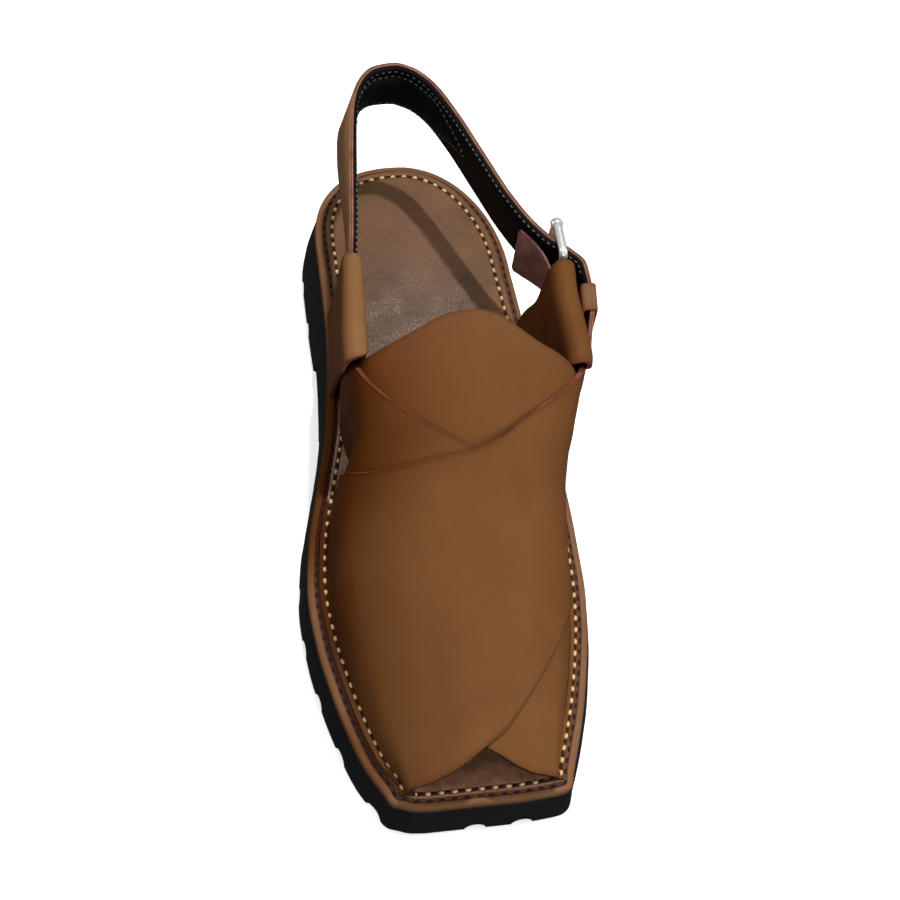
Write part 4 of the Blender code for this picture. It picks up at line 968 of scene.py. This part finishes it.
def build_pad():
    """Stuffed lining behind the heel: crowned, pinched at its seams and puckered across."""
    centre, out, up, _, k = strap_run(PAD_START, PAD_TIP - 0.02, 260)
    half, point = pad_half(k)
    v = np.linspace(-1, 1, 41)
    crown = np.clip(1 - np.abs(v) ** 3.2, 0, 1) ** 0.75
    rng = np.random.default_rng(4)
    along = run_of(centre) / MM
    pucker = np.zeros((len(k), len(v)))
    for _ in range(34):
        at, wide, deep = rng.uniform(0, along[-1]), rng.uniform(0.8, 2.4), rng.uniform(0.12, 0.5)
        side, reach, slant = rng.choice((-1, 1)), rng.uniform(0.6, 1.8), rng.uniform(-2, 2)
        line = along[:, None] - at - slant * v
        pucker -= deep * np.exp(-(line / wide) ** 2) * np.exp(-((v - side) / reach) ** 2)
    depth = 1.6 + crown * (2 * (0.3 + 0.7 * point)[:, None] + pucker)
    rise = half[:, None] * v - pad_drop(k)[:, None]
    middle = centre[:, None] + up[:, None] * (rise * MM)[..., None]
    made = shell("heel_pad_lining", middle - out[:, None] * 1.5 * MM,
                 middle - out[:, None] * (depth * MM)[..., None], [LINING], (0, 0, 0, 0), bevel=0,
                 replaces="heel_pad", slot="black_lining")


# ---- buckle and small leather

def build_frame():
    """Plated wire with round corners, widened at its top."""
    r, path = 2.4, []
    for s, z, start in ((BUCKLE_REAR + r, BUCKLE_HIGH - r, 180), (BUCKLE_FRONT - r, BUCKLE_HIGH - r, 90),
                        (BUCKLE_FRONT - r, BUCKLE_LOW + r, 0), (BUCKLE_REAR + r, BUCKLE_LOW + r, -90)):
        for turn in np.radians(np.linspace(start, start - 90, 12)):
            path.append((s + r * math.cos(turn), z + r * math.sin(turn)))
    path = np.array(path)
    path = np.concatenate([np.linspace(a, b, max(2, int(np.hypot(*(b - a)) / 0.5) + 1))[:-1]
                           for a, b in zip(path, np.roll(path, -1, axis=0))])
    wire = tube("buckle_wire", world(path[:, 0], BUCKLE_N, path[:, 1]), WIRE, (1, 0, 0), closed=True,
                replaces="buckle_frame")
    middle = (BUCKLE_N - CENTRE_N) * MM
    for spot in wire.data.vertices:
        wide = 1 + 0.4 * float(smooth(BUCKLE_HIGH - 5, BUCKLE_HIGH - 1.5, spot.co.z / MM))
        spot.co.x = middle + (spot.co.x - middle) * wide


def build_bar():
    """Cast rear bar, turned with a knob at its top and domed at both ends."""
    low, high = BUCKLE_LOW + 0.2, BUCKLE_HIGH + 1
    share = np.linspace(0, 1, 60)
    radius = np.interp(share, *np.transpose([(0, 2), (0.07, 2.3), (0.14, 1.9), (0.24, 2.2), (0.5, 2.3),
                                             (0.78, 2.2), (0.86, 1.8), (0.93, 2.65), (1, 2.5)]))
    end = np.minimum(np.minimum(share, 1 - share) * (high - low) / radius, 1)
    tube("buckle_bar", world(BUCKLE_REAR, BUCKLE_N, low + (high - low) * share),
         radius * np.maximum(np.sqrt(1 - (1 - end) ** 2), 0.12), (1, 0, 0), sides=24,
         replaces="buckle_frame")


def build_prong():
    """Wire bent round the frame's front bar, with its point across the rear one."""
    eye, lane = WIRE + GAP + PRONG, BUCKLE_N + BAR + GAP + PRONG
    spots = [(BUCKLE_FRONT + eye * math.cos(a), BUCKLE_N + eye * math.sin(a))
             for a in np.radians(np.linspace(315, 450, 20))]
    spots += [(BUCKLE_FRONT - 2, BUCKLE_N + 2.7), (BUCKLE_FRONT - 4, lane),
              (BUCKLE_FRONT - 9, lane + 0.15), (BUCKLE_REAR + 2, lane + 0.1),
              (BUCKLE_REAR - 1.8, lane - 0.25)]
    run = run_of(spots)
    fine = np.linspace(0, run[-1], 90)
    line = relax(read_rows(fine, run, spots), 8)
    radius = PRONG * np.minimum(1, 0.35 + (fine[-1] - fine) * 0.8) * np.minimum(1, 0.5 + fine)
    tube("prong_wire", flat_world(line, PRONG_Z), radius, UP, replaces="buckle_prong")


def fold_lane(s, distance):
    """A place beside the outer quarter's crest."""
    return s, float(crest("lateral", s)) + distance


def build_chape():
    """Leather loop round the buckle's front bar, in two bands above and below the prong."""
    radius, half, r = WIRE + GAP + 0.45, 0.45, 0.3
    spots = [fold_lane(112, 1.2), fold_lane(BUCKLE_FRONT + 5, 1.2)]
    spots += [(BUCKLE_FRONT + radius * math.cos(turn), BUCKLE_N + radius * math.sin(turn))
              for turn in np.radians(np.linspace(60, 300, 14))]
    spots += [fold_lane(BUCKLE_FRONT + 5, 0), fold_lane(112, 0)]
    run = run_of(spots)
    line = relax(read_rows(np.linspace(0, run[-1], int(run[-1] / 0.4)), run, spots), 8)
    out = flat_way(outside(line))
    for name, low, high in (("chape_lower", 64.5, PRONG_Z - 1.3), ("chape_upper", PRONG_Z + 1.3, 83)):
        h = 0.5 * (high - low)
        section = [(-half, h - r), (r - half, h), (half - r, h), (half, h - r), (half, 0),
                   (half, r - h), (half - r, -h), (r - half, -h), (-half, r - h), (-half, 0)]
        sweep(name, flat_world(line, 0.5 * (low + high)), out, np.broadcast_to(UP, out.shape), section,
              [BROWN, BROWN_BACK, RAW_EDGE], [2, 2, 2, 0, 0, 2, 2, 2, 1, 1], replaces="buckle_chape",
              slot="brown_leather")


def build_backing():
    """Suede tab between the foot and the buckle, its rear edge slanting forward as it rises."""
    k = np.linspace(0, BACKING.key[-1], 60)
    rows = np.stack([BACKING(column, k) for column in ("s", "n", "low", "high")], -1)
    ahead = [(*fold_lane(s, -1.25), *rows[-1, 2:]) for s in (BUCKLE_FRONT + 5, 110)]
    rows = np.vstack((rows, ahead))
    run = run_of(rows[:, :2])
    v = np.linspace(0, 1, 28)[:, None]
    rear = 2.4 + 0.8 * v + 1.3 * np.clip(1 - v / 0.1, 0, 1) ** 2 + 0.5 * np.clip((v - 0.95) / 0.05, 0, 1) ** 2
    at = rear + (run[-1] - rear) * np.linspace(0, 1, 70)
    s, n, low, high = np.moveaxis(read_rows(at, run, rows), -1, 0)
    way = rounded((read_rows(at + 0.2, run, rows) - read_rows(at - 0.2, run, rows))[..., :2])
    shift = 0.25 * np.sin(at / 3.1 + 4 * v)
    grids = [world(s - way[..., 1] * (w + shift), n + way[..., 0] * (w + shift), low + (high - low) * v)
             for w in (-0.5, 0.5)]
    shell("backing_suede", *grids, [SUEDE, SUEDE, SUEDE_EDGE], (2, 2, 2, 2), bevel=0.2,
          replaces="buckle_backing", slot="suede")


def build_keeper():
    """Thin leather ring round the strap's free end."""
    s = np.linspace(KEEPER_REAR, KEEPER_FRONT, 14)
    face = np.interp(s, STRAP.data["s"][18:], STRAP.data["n"][18:])
    grids = []
    for extra in (0, 0.9):
        corner = 0.8 + extra
        near, far = face - STRAP_THICK - 0.5 - extra + corner, face + 0.5 + extra - corner
        low, high = KEEPER_LOW - GAP - extra + corner, KEEPER_HIGH + GAP + extra - corner
        rows = [world(s, n + corner * math.cos(turn), z + corner * math.sin(turn))
                for start, n, z in ((0, far, high), (90, near, high), (180, near, low), (270, far, low))
                for turn in np.radians(np.linspace(start, start + 90, 6))]
        grids.append(np.array(rows + rows[:1]))
    shell("keeper_ring", *grids, [FOLD_BROWN, BROWN_BACK, RAW_EDGE], (2, 2, 1, 1), bevel=0.2,
          replaces="strap_keeper", slot="brown_leather")


# ---- stitches

def stitched(name, spots, along, up, size, dip, skin, sides=8, rings=7, **more):
    """Stitches as one mesh: a rounded thread at each spot, its two ends dipping into the leather."""
    rng = np.random.default_rng(1)
    length, width, height = size
    beside = rounded(np.cross(along, up))
    up = np.cross(beside, along)
    u = np.sin(np.linspace(-math.pi / 2, math.pi / 2, rings))[:, None]
    girth = np.maximum(np.sqrt(np.clip(1 - np.abs(u) ** 3, 0, 1)), 0.15)[..., None]
    cos, sin = circle(sides)
    verts, faces = [], []
    for i, spot in enumerate(spots):
        grow = rng.uniform(0.93, 1.07, 3)
        line = rounded(along[i] + beside[i] * rng.normal(0, 0.05))
        rise = up[i] * (0.12 * height - dip * np.abs(u) ** 4)
        middle = spot + (line * u * 0.5 * length * grow[0] + rise) * MM
        ring = (beside[i] * cos * width * grow[1] + up[i] * sin * height * grow[2]) * 0.5 * MM
        verts.append((middle[:, None] + ring * girth).reshape(-1, 3))
        start = i * rings * sides
        faces += grid_faces(rings, sides, start, wrap=True).tolist() + caps(rings, sides, start)
    piece(name, np.concatenate(verts), faces, [skin], **more)


def walk(points, pitch, start):
    """Places about a pitch apart round a closed line in s and n, with the world direction of travel."""
    rows = np.concatenate((points, points[:1]))
    run = run_of(rows)
    count = round(run[-1] / pitch)
    at = start + np.arange(count) * run[-1] / count
    read = lambda at: read_rows(at % run[-1], run, rows)
    return read(at), flat_way(read(at + 0.3) - read(at - 0.3))


def flange_height(s, n):
    """Height of the upper's turned-out flange over the insole, level with the insole where there is none."""
    side = "medial" if n < 0 else "lateral"
    if not FLANGE_REAR[side] < s < FLANGE_FRONT:
        return float(insole_top(s)) - 0.14
    across, up = half_arch(side, s, np.linspace(0, WALL_START, 24), LEATHER).T
    order = np.argsort(across)
    return float(np.interp(n, across[order], up[order])) + 0.02 + 0.35 * float(smooth(262, 272, s))


def sole_stitches():
    """Pale stitches round the insole and the upper's flange, dark ones between them and in the rim."""
    for name, start, size, dip, skin in (("pale_stitches", 2.4, (2.1, 1.3, 0.95), 0.3, CREAM),
                                         ("dark_stitches", 4.8, (2.4, 1.2, 0.4), 0.2, DARK_THREAD)):
        spots, along = walk(loop_in(PALE_ROW), 4.75, start)
        height = np.array([flange_height(s, n) for s, n in spots])
        stitched(name, flat_world(spots, height), along, UP, size, dip, skin, slot="insole_leather")
    spots, along = walk(loop_in(DARK_ROW), 4.4, 1.2)
    s, n = spots.T
    clear = ~np.where(n < 0, (s > 77) & (s < 115), (s > 89) & (s < 127))
    stitched("rim_stitches", world(s, n, top(s) - 0.2)[clear], along[clear], UP, (2.4, 0.95, 0.5), 0.25,
             DARK_THREAD, slot="midsole_leather")


def lining_stitches():
    """Fine grey rows on the strap's lining: one under its upper edge and one round the pad, to its point."""
    parts = []

    def row(first, last, offset, depth=1.62, tilt=0):
        """Stitches at offset(step, half width) above the strap's middle, their faces tilted upwards."""
        centre, out, up, width, k = strap_run(first, last, 600)
        line = centre - out * depth * MM + up * offset(k, 0.5 * width)[:, None] * MM
        run = run_of(line) / MM
        at = np.arange(0.8, run[-1], 2.6)
        way = rounded(read_rows(at + 0.2, run, line) - read_rows(at - 0.2, run, line))
        parts.append((read_rows(at, run, line), way, rounded(read_rows(at, run, up * tilt - out))))

    row(0.9, 5.2, lambda k, h: h - 0.7, 1.24, 1)
    row(5.2, 18.6, lambda k, h: h - 1 - 1.2 * smooth(5.2, 6.5, k) * smooth(13, 11, k), 1.58, 0.2)
    row(PAD_START, PAD_TIP, lambda k, h: pad_half(k)[0] + 0.35 - pad_drop(k))
    row(PAD_START, PAD_TIP, lambda k, h: -pad_half(k)[0] - 0.35 - pad_drop(k))
    spots, ways, ups = (np.concatenate(rows) for rows in zip(*parts))
    stitched("lining_stitches", spots, ways, ups, (1.5, 0.5, 0.45), 0.2, GREY_THREAD, sides=6, rings=5,
             slot="black_lining")


# ---- scene

def area_light(name, spot, aim, size, watts):
    lamp = bpy.data.lights.new(name, "AREA")
    lamp.shape = "DISK"
    lamp.size = size
    lamp.energy = watts
    made = bpy.data.objects.new(name, lamp)
    made.location = spot
    made.rotation_euler = (Vector(aim) - Vector(spot)).to_track_quat("-Z", "Y").to_euler()
    bpy.context.scene.collection.objects.link(made)


def build_floor():
    """Plain pale floor that glows a little, so that only soft shadows mark it."""
    m = Nodes("pale_floor", Base_Color=(0.95, 0.95, 0.95, 1), Roughness=0.9, Specular_IOR_Level=0.1,
              Emission_Color=(1, 1, 1, 1), Emission_Strength=0.56)
    mesh = bpy.data.meshes.new("floor")
    mesh.from_pydata([(x, y, 0) for x in (-6, 6) for y in (-6, 6)], [], [(0, 2, 3, 1)])
    mesh.materials.append(m.material)
    floor = bpy.data.objects.new("floor", mesh)
    bpy.context.scene.collection.objects.link(floor)
    floor.visible_diffuse = False
    floor.visible_glossy = False


def build_lights():
    """Soft studio lights and a faint even sky."""
    sky = bpy.data.worlds.new("soft_sky")
    sky.use_nodes = True
    sky.node_tree.nodes["Background"].inputs["Color"].default_value = (1, 1, 1, 1)
    sky.node_tree.nodes["Background"].inputs["Strength"].default_value = 0.09
    bpy.context.scene.world = sky
    bpy.context.scene.view_settings.view_transform = "Standard"
    area_light("key", (0.16, 0.34, 1.25), (0, 0.02, 0), 0.05, 9)
    area_light("overhead", (-0.25, -0.2, 1.35), (0, 0, 0.03), 0.8, 2.6)
    area_light("side_fill", (1.2, -0.2, 0.9), (0, -0.02, 0.03), 0.8, 7.5)
    area_light("front_fill", (0.2, -1.2, 0.6), (0, -0.1, 0.03), 0.7, 7)
    area_light("left_fill", (-1.1, 0.5, 0.7), (0, 0.05, 0.05), 0.6, 3.2)


def build_camera():
    """Camera ahead of the toe and above it, with the shoe placed as in the photograph."""
    eye, spot = Vector((-0.0834, -0.3217, 0.558)), Vector((-0.0544, 0.0258, 0))
    level = Vector((0.9965, -0.0834, 0))
    ahead = (spot - eye).normalized()
    turn_right, turn_down = 0.0975, 0.0075
    aim = (ahead + level * turn_right - level.cross(ahead) * turn_down).normalized()
    right = (level - aim * level.dot(aim)).normalized()
    lens = bpy.data.cameras.new("camera")
    lens.sensor_width = 36
    lens.lens = 64
    lens.clip_start = 0.05
    camera = bpy.data.objects.new("camera", lens)
    axes = Matrix((right, right.cross(aim), -aim)).transposed()
    camera.matrix_world = Matrix.Translation(eye) @ axes.to_4x4()
    bpy.context.scene.collection.objects.link(camera)
    bpy.context.scene.camera = camera


build_outsole()
build_midsole()
build_insole()
build_upper()
build_quarter("medial")
build_quarter("lateral")
build_strap()
build_pad()
build_frame()
build_bar()
build_prong()
build_chape()
build_backing()
build_keeper()
sole_stitches()
lining_stitches()
build_floor()
build_lights()
build_camera()
